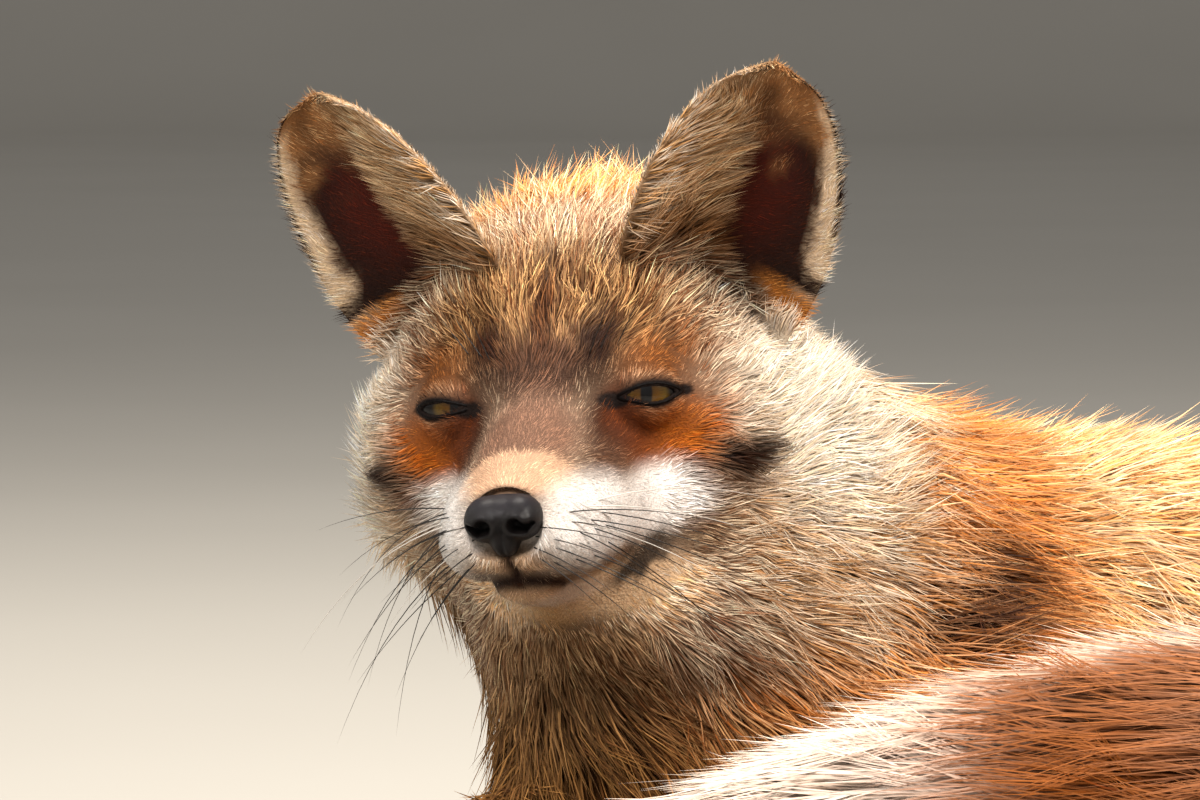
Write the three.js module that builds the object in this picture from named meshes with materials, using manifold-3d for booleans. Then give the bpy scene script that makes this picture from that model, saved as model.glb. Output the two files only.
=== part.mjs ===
// A red fox at rest: curled on the floor with its head raised and turned out of the curl.
// Life size, in millimetres. +Z is up and the head looks towards -Y; the back curves round
// through +Y and +X, and the tail comes forward along -Y, in front of the body.
// Every outline is the outer one, out to the tips of the coat.
import * as THREE from "three";
import { mergeVertices } from "three/addons/utils/BufferGeometryUtils.js";
import Module from "manifold-3d";

const wasm = await Module();
wasm.setup();

// ---------- Driving dimensions ----------
const EYE_HEIGHT = 162;
const HEAD_TURN = -13; // degrees about the vertical, to the fox's right
const HEAD_NOD = 7; // degrees, nose down
const HEAD_TILT = -5; // degrees, left eye up
const EYE_OUT = 26.5; // from the middle of the head to the middle of each eyeball
const EYE_BACK = 4;
const EYE_RADIUS = 10;
const TRUNK_TALL = 1.07; // height over width of the trunk's section
const MUZZLE_TALL = 0.92;
const TAIL_TALL = 1.22;
const COAT_BLEND = 26; // how softly the masses of the body run together
const FACE_BLEND = 9;
const NOSE_BLEND = 3;
const GAP = 0.3; // between parts that touch
const GROWN = 0.6; // how far a part's room reaches beyond it, where another part is cut to fit
const BLOCK = 900; // a cutting block that reaches past the whole fox

// Facet sizes.
const BODY_STEP = 26;
const TAIL_STEP = 25;
const LEG_STEP = 18;
const PAW_STEP = 15;
const HEAD_STEP = 10.5;
const NOSE_STEP = 4.5;

const COLOURS = {
  russet: 0xb9692e,
  grizzled: 0xa5805a,
  cream: 0xe2cdb0,
  white: 0xe9e2d8,
  stocking: 0x2b211d,
  nose: 0x171316,
  eye: 0x6b4a1c,
};
const LEG_COLOURS = {
  upper: COLOURS.russet,
  lower: COLOURS.stocking,
  paw: COLOURS.stocking,
};

const point = (x, y, z) => new THREE.Vector3(x, y, z);
const degrees = THREE.MathUtils.degToRad;

// The head's own frame: its origin midway between the eyes, x to the fox's left, y back, z up.
const headFrame = new THREE.Matrix4()
  .makeRotationFromEuler(
    new THREE.Euler(degrees(HEAD_NOD), degrees(HEAD_TILT), degrees(HEAD_TURN), "ZXY"),
  )
  .setPosition(0, 0, EYE_HEIGHT);
const intoHead = headFrame.clone().invert();
const fromHead = (x, y, z) => point(x, y, z).applyMatrix4(headFrame);

// ---------- Distance fields ----------
// A field takes a point and returns its distance from a surface, below zero inside.
function soften(a, b, reach) {
  const share = Math.max(reach - Math.abs(a - b), 0) / reach;
  return Math.min(a, b) - (share * share * reach) / 4;
}

const joined = (fields, reach) => (p) =>
  fields.reduce((distance, field) => soften(distance, field(p), reach), Infinity);

const carvedBy = (field, tool) => (p) => Math.max(field(p), -tool(p));

function egg(centre, radii) {
  const [cx, cy, cz] = centre;
  const [rx, ry, rz] = radii;
  return (p) => {
    const near = Math.hypot((p.x - cx) / rx, (p.y - cy) / ry, (p.z - cz) / rz);
    const steep = Math.hypot(
      (p.x - cx) / (rx * rx),
      (p.y - cy) / (ry * ry),
      (p.z - cz) / (rz * rz),
    );
    return steep < 1e-9 ? -Math.min(rx, ry, rz) : (near * (near - 1)) / steep;
  };
}

// A rounded length of body along a smooth line. Each stop is [x, y, z, radius], and tall is the
// height of its section over the width.
const PIECES_PER_STOP = 5;

function trail(stops, tall = 1) {
  const line = new THREE.CatmullRomCurve3(stops.map(([x, y, z]) => point(x, y, z)));
  const girth = new THREE.SplineCurve(stops.map((stop, i) => new THREE.Vector2(i, stop[3])));
  const pieces = (stops.length - 1) * PIECES_PER_STOP;
  const beads = Array.from({ length: pieces + 1 }, (_, i) => ({
    at: line.getPoint(i / pieces),
    radius: girth.getPoint(i / pieces).y,
  }));
  return (p) => {
    let nearest = Infinity;
    for (let i = 0; i < pieces; i++) {
      const [a, b] = [beads[i], beads[i + 1]];
      const [dx, dy, dz] = [b.at.x - a.at.x, b.at.y - a.at.y, b.at.z - a.at.z];
      const [px, py, pz] = [p.x - a.at.x, p.y - a.at.y, p.z - a.at.z];
      const along = THREE.MathUtils.clamp(
        (px * dx + py * dy + pz * dz) / (dx * dx + dy * dy + dz * dz),
        0,
        1,
      );
      const away = Math.hypot(px - dx * along, py - dy * along, (pz - dz * along) / tall);
      nearest = Math.min(nearest, away - THREE.MathUtils.lerp(a.radius, b.radius, along));
    }
    return nearest;
  };
}

// A field written in the head's frame, read in the fox's.
function onHead(field) {
  const q = point(0, 0, 0);
  return (p) => field(q.copy(p).applyMatrix4(intoHead));
}

const bothSides = (make) => [make(-1), make(1)];

// ---------- From a field to a closed surface ----------
// One vertex in each grid cell that the surface crosses, set on the surface, and one quad round
// each grid edge that it crosses.
function surfaceOf(field, low, high, step) {
  const counts = ["x", "y", "z"].map((k) => Math.ceil((high[k] - low[k]) / step) + 1);
  const [nx, ny, nz] = counts;
  const strides = [1, nx, nx * ny];
  const gridPoint = (i, j, k) => point(low.x + i * step, low.y + j * step, low.z + k * step);
  const values = new Float32Array(nx * ny * nz);
  const atEdge = (i, count) => i < 2 || i > count - 3;
  for (let k = 0, n = 0; k < nz; k++)
    for (let j = 0; j < ny; j++)
      for (let i = 0; i < nx; i++, n++) {
        const outer = atEdge(i, nx) || atEdge(j, ny) || atEdge(k, nz);
        const distance = field(gridPoint(i, j, k));
        values[n] = outer ? Math.max(distance, step / 4) : distance;
      }

  const vertexOf = new Int32Array(values.length).fill(-1);
  const positions = [];
  for (let k = 0; k < nz - 1; k++)
    for (let j = 0; j < ny - 1; j++)
      for (let i = 0; i < nx - 1; i++) {
        const cell = i + j * strides[1] + k * strides[2];
        const middle = crossingMean(values, cell, strides);
        if (!middle) continue;
        vertexOf[cell] = positions.length / 3;
        const p = gridPoint(i, j, k).addScaledVector(middle, step);
        positions.push(...settle(p, field, step).toArray());
      }

  const index = [];
  for (let k = 1; k < nz - 1; k++)
    for (let j = 1; j < ny - 1; j++)
      for (let i = 1; i < nx - 1; i++) {
        const n = i + j * strides[1] + k * strides[2];
        for (let axis = 0; axis < 3; axis++) {
          const inside = values[n] < 0;
          if (inside === values[n + strides[axis]] < 0) continue;
          const [u, v] = [strides[(axis + 1) % 3], strides[(axis + 2) % 3]];
          const ring = [n, n - u, n - u - v, n - v].map((cell) => vertexOf[cell]);
          if (!inside) ring.reverse();
          index.push(ring[0], ring[1], ring[2], ring[0], ring[2], ring[3]);
        }
      }
  const geometry = new THREE.BufferGeometry();
  geometry.setAttribute("position", new THREE.Float32BufferAttribute(positions, 3));
  geometry.setIndex(index);
  return geometry;
}

// The mean of the points where a cell's edges cross the surface, from 0 to 1 across the cell.
function crossingMean(values, cell, strides) {
  const sum = point(0, 0, 0);
  let crossings = 0;
  for (let axis = 0; axis < 3; axis++)
    for (let corner = 0; corner < 4; corner++) {
      const [u, v] = [(axis + 1) % 3, (axis + 2) % 3];
      const [atU, atV] = [corner & 1, corner >> 1];
      const start = cell + atU * strides[u] + atV * strides[v];
      const [a, b] = [values[start], values[start + strides[axis]]];
      if (a < 0 === b < 0) continue;
      const at = [0, 0, 0];
      at[axis] = a / (a - b);
      at[u] = atU;
      at[v] = atV;
      sum.add(point(...at));
      crossings++;
    }
  return crossings ? sum.divideScalar(crossings) : null;
}

// Moves a point along the field's slope onto the surface.
function settle(p, field, step) {
  const probe = step * 0.05;
  const q = point(0, 0, 0);
  const slope = point(0, 0, 0);
  const distance = field(p);
  for (const k of ["x", "y", "z"]) {
    q.copy(p);
    q[k] += probe;
    slope[k] = (field(q) - distance) / probe;
  }
  const steepness = Math.max(slope.lengthSq(), 0.25);
  return p.addScaledVector(slope, -THREE.MathUtils.clamp(distance, -step / 2, step / 2) / steepness);
}

// ---------- Cutting and joining ----------
function solidOf(geometry, matrix) {
  const bare = geometry.clone();
  bare.deleteAttribute("normal");
  bare.deleteAttribute("uv");
  if (matrix) bare.applyMatrix4(matrix);
  const merged = mergeVertices(bare, 1e-4);
  if (matrix && matrix.determinant() < 0) merged.index.array.reverse();
  return new wasm.Manifold(
    new wasm.Mesh({
      numProp: 3,
      vertProperties: merged.attributes.position.array,
      triVerts: new Uint32Array(merged.index.array),
    }),
  );
}

// The same surface with every vertex moved outwards: the room that a part takes from others.
function grown(geometry) {
  const wider = geometry.clone();
  wider.computeVertexNormals();
  const at = wider.attributes.position;
  const normal = wider.attributes.normal;
  for (let i = 0; i < at.count; i++)
    at.setXYZ(
      i,
      at.getX(i) + normal.getX(i) * GROWN,
      at.getY(i) + normal.getY(i) * GROWN,
      at.getZ(i) + normal.getZ(i) * GROWN,
    );
  return wider;
}

function geometryOf(solid) {
  const { vertProperties, triVerts } = solid.getMesh();
  const geometry = new THREE.BufferGeometry();
  geometry.setAttribute("position", new THREE.BufferAttribute(vertProperties, 3));
  geometry.setIndex(new THREE.BufferAttribute(triVerts, 1));
  return geometry;
}

const largest = (solid) =>
  solid.decompose().reduce((best, body) => (body.volume() > best.volume() ? body : best));

// A block that fills everything on one side of a plane.
function beyond(place, direction, offset = 0) {
  const ahead = direction.clone().normalize();
  const turn = new THREE.Quaternion().setFromUnitVectors(point(0, 0, 1), ahead);
  const centre = place.clone().addScaledVector(ahead, offset + BLOCK / 2);
  const matrix = new THREE.Matrix4().compose(centre, turn, point(1, 1, 1));
  return solidOf(new THREE.BoxGeometry(BLOCK, BLOCK, BLOCK), matrix);
}

// Cuts a solid across at each place in turn, leaving the gap, and returns the lengths in order.
function parted(whole, cuts) {
  const lengths = [];
  let rest = whole;
  for (const [place, direction] of cuts) {
    lengths.push(largest(rest.subtract(beyond(place, direction, -GAP / 2))));
    rest = largest(rest.intersect(beyond(place, direction, GAP / 2)));
  }
  return [...lengths, rest];
}

const underFloor = beyond(point(0, 0, 0), point(0, 0, -1));
const onFloor = (solid) => largest(solid.subtract(underFloor));

function boxRound(low, high) {
  return [point(...low), point(...high)];
}

// ---------- The masses of the body ----------
// Those of the head are in the head's frame. An egg has a middle and three radii.
const skull = [
  egg([0, 54, 1], [49, 56, 43]),
  egg([0, 80, 0], [50, 42, 47]),
  egg([0, 26, 9], [25, 30, 17]),
];
const cheeks = bothSides((side) => egg([side * 34, 38, -18], [33, 38, 36]));
const ruff = bothSides((side) => egg([side * 40, 58, -30], [37, 36, 42]));
const browRidges = bothSides((side) => egg([side * 19, 12, 10], [15, 17, 9]));
const whiskerPads = bothSides((side) => egg([side * 10.5, -42, -27], [12.5, 18, 12.5]));
const jowls = bothSides((side) => egg([side * 18.5, -16, -27], [9.5, 27, 13]));
const muzzle = trail(
  [
    [0, 12, -12, 26],
    [0, -14, -15, 20],
    [0, -38, -20, 16],
    [0, -52, -22, 14],
  ],
  MUZZLE_TALL,
);
const jaw = trail([
  [0, 34, -40, 27],
  [0, 0, -40, 18],
  [0, -30, -40, 12],
  [0, -43, -41, 9],
]);
const throat = egg([0, 52, -46], [42, 44, 34]);

const orbits = joined(
  bothSides((side) => egg([side * 30, -12, 0], [13, 13, 8])),
  NOSE_BLEND,
);
const face = [...skull, ...cheeks, ...ruff, ...browRidges, ...whiskerPads, ...jowls, muzzle, jaw, throat];
const head = onHead(carvedBy(joined(face, FACE_BLEND), orbits));
const neck = trail([
  [6, 84, 172, 42],
  [16, 76, 154, 53],
  [36, 80, 130, 60],
  [76, 86, 100, 64],
]);
const spine = trail(
  [
    [32, 40, 80, 57],
    [100, 90, 76, 67],
    [175, 122, 73, 71],
    [252, 112, 67, 62],
    [316, 56, 70, 64],
    [338, -14, 72, 66],
    [332, -62, 66, 48],
  ],
  TRUNK_TALL,
);
const haunch = egg([352, -30, 48], [64, 66, 54]);
const core = joined([head, neck, spine, haunch], COAT_BLEND);

const noseLeather = [
  egg([0, -58, -18.5], [9.5, 8, 8]),
  ...bothSides((side) => egg([side * 5, -59, -20], [6, 7.5, 7.5])),
  egg([0, -61, -26], [3.2, 4.5, 5]),
];
const nose = onHead(joined(noseLeather, NOSE_BLEND));

const tailStops = [
  [336, -76, 62, 30],
  [326, -124, 60, 38],
  [268, -170, 65, 52],
  [186, -172, 66, 54],
  [116, -156, 58, 49],
  [60, -144, 44, 41],
  [6, -134, 31, 31],
  [-42, -126, 20, 20],
  [-76, -122, 13, 9],
];
const tail = trail(tailStops, TAIL_TALL);

// Each length of a leg runs on from the one before it, down to the toes.
const legs = {
  foreleg_left: {
    upper: [
      [112, 66, 80, 48],
      [116, 24, 50, 35],
    ],
    lower: [
      [116, 24, 48, 31],
      [62, -22, 44, 24],
      [18, -56, 38, 20],
    ],
    paw: [
      [18, -56, 38, 18],
      [-8, -80, 22, 18],
      [-32, -100, 15, 17],
    ],
  },
  foreleg_right: {
    upper: [
      [48, 90, 70, 42],
      [22, 62, 36, 30],
    ],
    lower: [
      [22, 60, 36, 27],
      [-12, 20, 29, 23],
      [-40, -21, 24, 19],
    ],
    paw: [
      [-40, -21, 22, 17],
      [-56, -46, 16, 17],
      [-66, -70, 14, 16],
    ],
  },
  hind_leg_left: {
    upper: [
      [318, -14, 92, 54],
      [262, -34, 84, 50],
      [210, -46, 70, 40],
    ],
    lower: [
      [212, -48, 68, 36],
      [262, -88, 52, 28],
      [306, -122, 32, 23],
    ],
    paw: [
      [306, -124, 30, 21],
      [244, -132, 18, 19],
      [176, -136, 15, 17],
    ],
  },
  hind_leg_right: {
    upper: [
      [300, -6, 46, 42],
      [240, -12, 42, 38],
      [196, -22, 38, 32],
    ],
    lower: [
      [198, -26, 36, 28],
      [244, -62, 26, 24],
      [284, -90, 22, 20],
    ],
    paw: [
      [282, -92, 20, 18],
      [222, -94, 16, 17],
      [164, -96, 14, 16],
    ],
  },
};
const CLAWS = 4; // on each paw
const CLAW_LENGTH = 18; // of which a third shows
const CLAW_RADIUS = 2.4;
const CLAW_SPREAD = 24; // degrees between neighbours
const CLAW_HEIGHT = 5;
const CLAW_SLOPE = -0.12;
const CLAW_SIDES = 5;

// Adds the claws to a paw's toes.
function clawed(solid, stops, reach = 0) {
  const [toes, before] = [stops.at(-1), stops.at(-2)];
  const heading = Math.atan2(toes[1] - before[1], toes[0] - before[0]);
  for (let i = 0; i < CLAWS; i++) {
    const angle = heading + degrees(CLAW_SPREAD) * (i - (CLAWS - 1) / 2);
    const out = point(Math.cos(angle), Math.sin(angle), CLAW_SLOPE).normalize();
    const centre = point(toes[0], toes[1], CLAW_HEIGHT).addScaledVector(out, toes[3] - CLAW_LENGTH / 6);
    const turn = new THREE.Quaternion().setFromUnitVectors(point(0, 1, 0), out);
    const matrix = new THREE.Matrix4().compose(centre, turn, point(1, 1, 1));
    const [radius, length] = [CLAW_RADIUS + 2 * reach, CLAW_LENGTH + 4 * reach];
    solid = solid.add(solidOf(new THREE.ConeGeometry(radius, length, CLAW_SIDES), matrix));
  }
  return solid;
}

// ---------- Ears ----------
// An ear is a cupped leaf: a ball flattened to a leaf's outline, then bent forward at its sides.
const EAR_LENGTH = 80.5;
const EAR_HALF_WIDTH = 30;
const EAR_THICKNESS = 6.5;
const EAR_CUP = 19;
// Of the left and the right ear, as on the left side of the head.
const EAR_BASE = { 1: [34.5, 50, 20], "-1": [30.5, 50, 20] };
const EAR_TIP = { 1: [70, 17, 87], "-1": [59.5, 17, 87] };
const EAR_FACES = [0.42, -1, 0.12]; // the way the cup opens, for the left ear
const EAR_ROOT = 0.2; // of the length, reaching down into the head
const EAR_WIDEST = 0.88; // under 1 puts the widest place below the middle
const EAR_ROUND = 0.37; // smaller is a blunter tip
const EAR_FLATTENS = 0.72; // how much of the cup is gone at the tip

function ear(side) {
  const base = point(...EAR_BASE[side]);
  const up = point(...EAR_TIP[side]).sub(base).normalize();
  const across = up.clone().cross(point(...EAR_FACES)).normalize();
  const open = across.clone().cross(up);
  const geometry = new THREE.SphereGeometry(1, 16, 12);
  const at = geometry.attributes.position;
  for (let i = 0; i < at.count; i++) {
    const [a, b, c] = [at.getX(i), at.getY(i), at.getZ(i)];
    const ring = Math.hypot(a, c);
    const sideways = ring > 1e-3 ? a / ring : 0;
    const rise = (b + 1) / 2;
    const wide = EAR_HALF_WIDTH * Math.sin(Math.PI * rise ** EAR_WIDEST) ** EAR_ROUND;
    const fold = EAR_CUP * (1 - EAR_FLATTENS * rise) * sideways * sideways;
    const thick = (EAR_THICKNESS / 2) * c;
    const p = base
      .clone()
      .addScaledVector(up, (rise * (1 + EAR_ROOT) - EAR_ROOT) * EAR_LENGTH)
      .addScaledVector(across, wide * sideways)
      .addScaledVector(open, fold + thick);
    at.setXYZ(i, ...p.toArray());
  }
  return solidOf(geometry, headFrame.clone().scale(point(side, 1, 1)));
}

function eyeball(side) {
  const centre = fromHead(side * EYE_OUT, EYE_BACK, 0);
  const matrix = new THREE.Matrix4().makeTranslation(centre.x, centre.y, centre.z);
  return (reach) => solidOf(new THREE.SphereGeometry(EYE_RADIUS + reach, 10, 7), matrix);
}

// ---------- Assembly ----------
const fox = new THREE.Group();
fox.name = "fox";

function addPart(name, solid, colour, roughness = 0.95) {
  const material = new THREE.MeshStandardMaterial({ color: colour, roughness, metalness: 0 });
  const mesh = new THREE.Mesh(geometryOf(solid), material);
  mesh.name = name;
  fox.add(mesh);
}

const headBox = boxRound([-110, -90, 50], [140, 160, 240]);
const noseBox = boxRound([-50, -90, 110], [30, -30, 165]);
const coreBox = boxRound([-110, -150, -20], [460, 220, 240]);
const tailBox = boxRound([-120, -270, -30], [410, -20, 170]);

// The core is netted finely where the head is and coarsely over the trunk. The head ends at two
// planes, behind the ruff and under the chin.
const headEnds = [
  [fromHead(0, 60, -40), point(0, 0.76, -0.65).transformDirection(headFrame)],
  [fromHead(0, 0, -74), point(0, 0, -1).transformDirection(headFrame)],
];
const headSpace = (reach) =>
  headEnds
    .map(([place, direction]) => beyond(place, direction.clone().negate(), -reach))
    .reduce((a, b) => a.intersect(b));
const headNet = surfaceOf(core, ...headBox, HEAD_STEP);
const coreNet = surfaceOf(core, ...coreBox, BODY_STEP);
const fineHead = solidOf(headNet);
const coarseCore = solidOf(coreNet);
const headRoom = solidOf(grown(headNet)).intersect(headSpace(GROWN));
const coreRoom = solidOf(grown(coreNet)).add(headRoom);

const eyes = { eye_right: eyeball(-1), eye_left: eyeball(1) };
const noseNet = surfaceOf(nose, ...noseBox, NOSE_STEP);

let headSolid = largest(fineHead.intersect(headSpace(-GAP / 2)));
headSolid = headSolid.subtract(solidOf(grown(noseNet)));
for (const eye of Object.values(eyes)) headSolid = headSolid.subtract(eye(GAP));
addPart("head", largest(headSolid), COLOURS.russet);

const bodySolid = onFloor(largest(coarseCore.subtract(headSpace(GAP / 2))));
const [neckSolid, chest, ribs, loin, rump] = parted(bodySolid, [
  [point(62, 80, 116), point(0.45, 0.2, -0.87)],
  [point(142, 112, 75), point(0.9, 0.43, 0)],
  [point(222, 120, 75), point(0.98, -0.2, 0)],
  [point(312, 62, 75), point(0.6, -0.8, 0)],
]);
addPart("neck", neckSolid, COLOURS.cream);
addPart("chest", chest, COLOURS.grizzled);
addPart("ribs", ribs, COLOURS.russet);
addPart("loin", loin, COLOURS.russet);
addPart("rump", rump, COLOURS.russet);

addPart("nose", solidOf(noseNet), COLOURS.nose, 0.4);
for (const [name, eye] of Object.entries(eyes)) addPart(name, eye(0), COLOURS.eye, 0.1);
for (const [name, side] of [["ear_right", -1], ["ear_left", 1]])
  addPart(name, largest(ear(side).subtract(headRoom)), COLOURS.grizzled);

let taken = coreRoom;
for (const [leg, lengths] of Object.entries(legs))
  for (const [name, stops] of Object.entries(lengths)) {
    const isPaw = name === "paw";
    const step = isPaw ? PAW_STEP : LEG_STEP;
    const lows = [0, 1, 2].map((k) => Math.min(...stops.map((s) => s[k] - s[3] - step * 2)));
    const highs = [0, 1, 2].map((k) => Math.max(...stops.map((s) => s[k] + s[3] + step * 3)));
    const net = surfaceOf(trail(stops), ...boxRound(lows, highs), step);
    const bare = onFloor(solidOf(net).subtract(taken));
    addPart(`${leg}_${name}`, isPaw ? clawed(bare, stops) : bare, LEG_COLOURS[name]);
    const room = solidOf(grown(net));
    taken = taken.add(isPaw ? clawed(room, stops, GROWN) : room);
  }

const tailSolid = onFloor(solidOf(surfaceOf(tail, ...tailBox, TAIL_STEP)).subtract(taken));
const tailLine = new THREE.CatmullRomCurve3(tailStops.map(([x, y, z]) => point(x, y, z)));
const tailCuts = [0.3, 0.52, 0.78].map((t) => [tailLine.getPoint(t), tailLine.getTangent(t)]);
const [tailBase, tailMiddle, tailEnd, tailTip] = parted(tailSolid, tailCuts);
addPart("tail_base", tailBase, COLOURS.grizzled);
addPart("tail_middle", tailMiddle, COLOURS.grizzled);
addPart("tail_end", tailEnd, COLOURS.grizzled);
addPart("tail_tip", tailTip, COLOURS.white);

// The fox's origin is on the floor, under the middle of its outline.
const outline = new THREE.Box3().setFromObject(fox);
const middle = outline.getCenter(point(0, 0, 0));
for (const mesh of fox.children) mesh.geometry.translate(-middle.x, -middle.y, -outline.min.z);

export default fox;
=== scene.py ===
"""A red fox, curled at rest with its head raised: skin, coat, eyes, nose, claws and whiskers.

Shapes are worked out in millimetres, in one of two frames. The head's has its origin between the
eyes, x to the fox's left, y back and z up. The body's has its origin on the floor under that
point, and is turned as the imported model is. A mesh gets its points in metres.
"""

import math

import bmesh
import bpy
import numpy as np
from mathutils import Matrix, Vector
from mathutils.bvhtree import BVHTree


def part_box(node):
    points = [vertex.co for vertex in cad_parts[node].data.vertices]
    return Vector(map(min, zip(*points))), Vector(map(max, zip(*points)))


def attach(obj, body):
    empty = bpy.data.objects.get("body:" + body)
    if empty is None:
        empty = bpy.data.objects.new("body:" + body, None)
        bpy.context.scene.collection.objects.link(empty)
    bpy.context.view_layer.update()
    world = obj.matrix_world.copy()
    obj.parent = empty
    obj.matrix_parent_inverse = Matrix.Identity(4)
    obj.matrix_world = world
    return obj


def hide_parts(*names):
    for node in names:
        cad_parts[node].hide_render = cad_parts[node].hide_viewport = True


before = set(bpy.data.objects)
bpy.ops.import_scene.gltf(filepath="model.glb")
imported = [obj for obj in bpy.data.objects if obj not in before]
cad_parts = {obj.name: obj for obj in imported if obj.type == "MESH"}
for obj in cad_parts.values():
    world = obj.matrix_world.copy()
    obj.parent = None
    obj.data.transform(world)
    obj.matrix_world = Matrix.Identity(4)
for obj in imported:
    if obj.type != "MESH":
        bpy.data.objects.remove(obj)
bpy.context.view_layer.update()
SEED = 7


# ---------- Numbers ----------
def unit(vectors):
    return vectors / np.maximum(np.linalg.norm(vectors, axis=-1, keepdims=True), 1e-9)


def rise(low, high, value):
    """0 below low, 1 above high and smooth between them, or the other way round."""
    t = np.clip((value - low) / (high - low), 0, 1)
    return t * t * (3 - 2 * t)


def tint(code):
    """A colour written as on a paint card, as the linear values that a shader takes."""
    parts = np.array([(code >> 16) & 255, (code >> 8) & 255, code & 255]) / 255
    return np.where(parts < 0.04045, parts / 12.92, ((parts + 0.055) / 1.055) ** 2.4)


def between(a, b, share):
    return a + (b - a) * share


def mixed(a, b, share):
    """One colour or a list of them, passing into another."""
    share = np.asarray(share)
    return a + (b - a) * (share[..., None] if share.ndim else share)


def ripple(points, size, seed, waves=7):
    """Smooth noise from about -1 to 1, whose lumps are about size across."""
    rng = np.random.default_rng(seed)
    pitch = unit(rng.normal(size=(waves, 3))) * rng.uniform(0.7, 1.4, (waves, 1)) * 2 * math.pi / size
    return np.sin(points @ pitch.T + rng.uniform(0, 2 * math.pi, waves)).sum(1) / math.sqrt(waves)


# ---------- The two frames ----------
EYE_BACK = 4
EYE_HEIGHT = 162
EYE_RADIUS = 10
NOSE_BELOW_EYES = math.radians(17.7)  # the nose, seen from between the eyes


def middle(node):
    low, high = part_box(node)
    return np.array((low + high) / 2) * 1000


eye_middles = (middle("eye_left") + middle("eye_right")) / 2
across = unit(middle("eye_left") - middle("eye_right"))
to_nose = middle("nose") - eye_middles
to_nose = unit(to_nose - across * (to_nose @ across))
over_nose = np.cross(across, to_nose)
back = math.sin(NOSE_BELOW_EYES) * over_nose - math.cos(NOSE_BELOW_EYES) * to_nose
upward = -math.sin(NOSE_BELOW_EYES) * to_nose - math.cos(NOSE_BELOW_EYES) * over_nose
HEAD_AXES = np.stack([across, back, upward])
HEAD_ORIGIN = eye_middles - EYE_BACK * back
BODY_ORIGIN = HEAD_ORIGIN - [0, 0, EYE_HEIGHT]
MIRROR = np.array([-1.0, 1, 1])


def in_head(points):
    return (points - HEAD_ORIGIN) @ HEAD_AXES.T


def from_head(points):
    return np.asarray(points, float) @ HEAD_AXES + HEAD_ORIGIN


# ---------- Lines of the body ----------
# Each stop is [x, y, z, depth of the coat] in the body's frame, from the head to the last toe.
LINES = {
    "spine": [
        [-4, 84, 176, 13], [30, 78, 138, 17], [66, 76, 100, 17], [108, 92, 76, 15],
        [175, 122, 73, 14], [252, 112, 67, 13], [316, 56, 70, 14], [338, -14, 72, 15],
        [334, -66, 66, 13], [326, -124, 60, 15], [268, -170, 65, 20], [186, -172, 66, 22],
        [116, -156, 58, 21], [60, -144, 44, 18], [6, -134, 31, 14], [-42, -126, 20, 10],
        [-76, -122, 13, 4],
    ],
    "foreleg_left": [
        [112, 66, 80, 13], [116, 24, 50, 10], [62, -22, 44, 6], [18, -56, 38, 4],
        [-8, -80, 22, 3.5], [-32, -100, 15, 3],
    ],
    "foreleg_right": [
        [48, 90, 70, 13], [22, 62, 36, 8], [-12, 20, 29, 5], [-40, -21, 24, 4], [-56, -46, 16, 3.5],
        [-66, -70, 14, 3],
    ],
    "hind_leg_left": [
        [318, -14, 92, 14], [262, -34, 84, 12], [210, -46, 70, 10], [262, -88, 52, 7],
        [306, -122, 32, 4.5], [244, -132, 18, 3.5], [176, -136, 15, 3],
    ],
    "hind_leg_right": [
        [300, -6, 46, 12], [240, -12, 42, 10], [196, -22, 38, 9], [244, -62, 26, 6],
        [284, -90, 22, 4], [222, -94, 16, 3.5], [164, -96, 14, 3],
    ],
}
LEGS = [name for name in LINES if "leg" in name]
LINE_SAMPLES = 9  # between two stops


class Line:
    """A smooth line through the stops, sampled closely."""

    def __init__(self, stops):
        stops = np.array(stops, float)
        padded = np.vstack([2 * stops[0] - stops[1], stops, 2 * stops[-1] - stops[-2]])
        samples = []
        for a, b, c, d in zip(padded, padded[1:], padded[2:], padded[3:]):
            for t in np.arange(LINE_SAMPLES) / LINE_SAMPLES:
                bend = (2 * a - 5 * b + 4 * c - d) * t * t + (3 * b - a - 3 * c + d) * t**3
                samples.append(0.5 * (2 * b + (c - a) * t + bend))
        samples.append(stops[-1])
        samples = np.array(samples)
        self.points = samples[:, :3] + BODY_ORIGIN
        self.depth = samples[:, 3]
        self.along = np.linspace(0, 1, len(samples))
        self.tangent = unit(np.gradient(self.points, axis=0))

    def nearest(self, points):
        best = np.full(len(points), np.inf)
        which = np.zeros(len(points), int)
        for i, sample in enumerate(self.points):
            distance = ((points - sample) ** 2).sum(1)
            closer = distance < best
            best[closer] = distance[closer]
            which[closer] = i
        return which


lines = {name: Line(stops) for name, stops in LINES.items()}


def line_of(node):
    return next((name for name in LEGS if node.startswith(name)), "spine")


# ---------- Ears ----------
# An ear is a cupped leaf: a ball flattened to a leaf's outline, then bent forward at its sides.
EAR_LENGTH = 80
EAR_HALF_WIDTH = 28.5
EAR_THICKNESS = 4.4
EAR_CUP = 19
EAR_BASE = {1: np.array([34.5, 50, 20]), -1: np.array([30.5, 50, 20])}  # as on the left side
EAR_TIP = {1: np.array([70, 17, 87]), -1: np.array([59.5, 17, 87])}
EAR_FACES = np.array([0.42, -1, 0.12])
EAR_ROOT = 0.2
EAR_WIDEST = 0.88
EAR_ROUND = 0.37
EAR_FLATTENS = 0.72
EAR_BLUNT = 0.6  # of its rim


def ear_axes(side):
    """Up an ear, across it to its outer edge and out of its cup, as on the left side."""
    up = unit(EAR_TIP[side] - EAR_BASE[side])
    outward = unit(np.cross(up, EAR_FACES))
    return up, outward, np.cross(outward, up)


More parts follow.
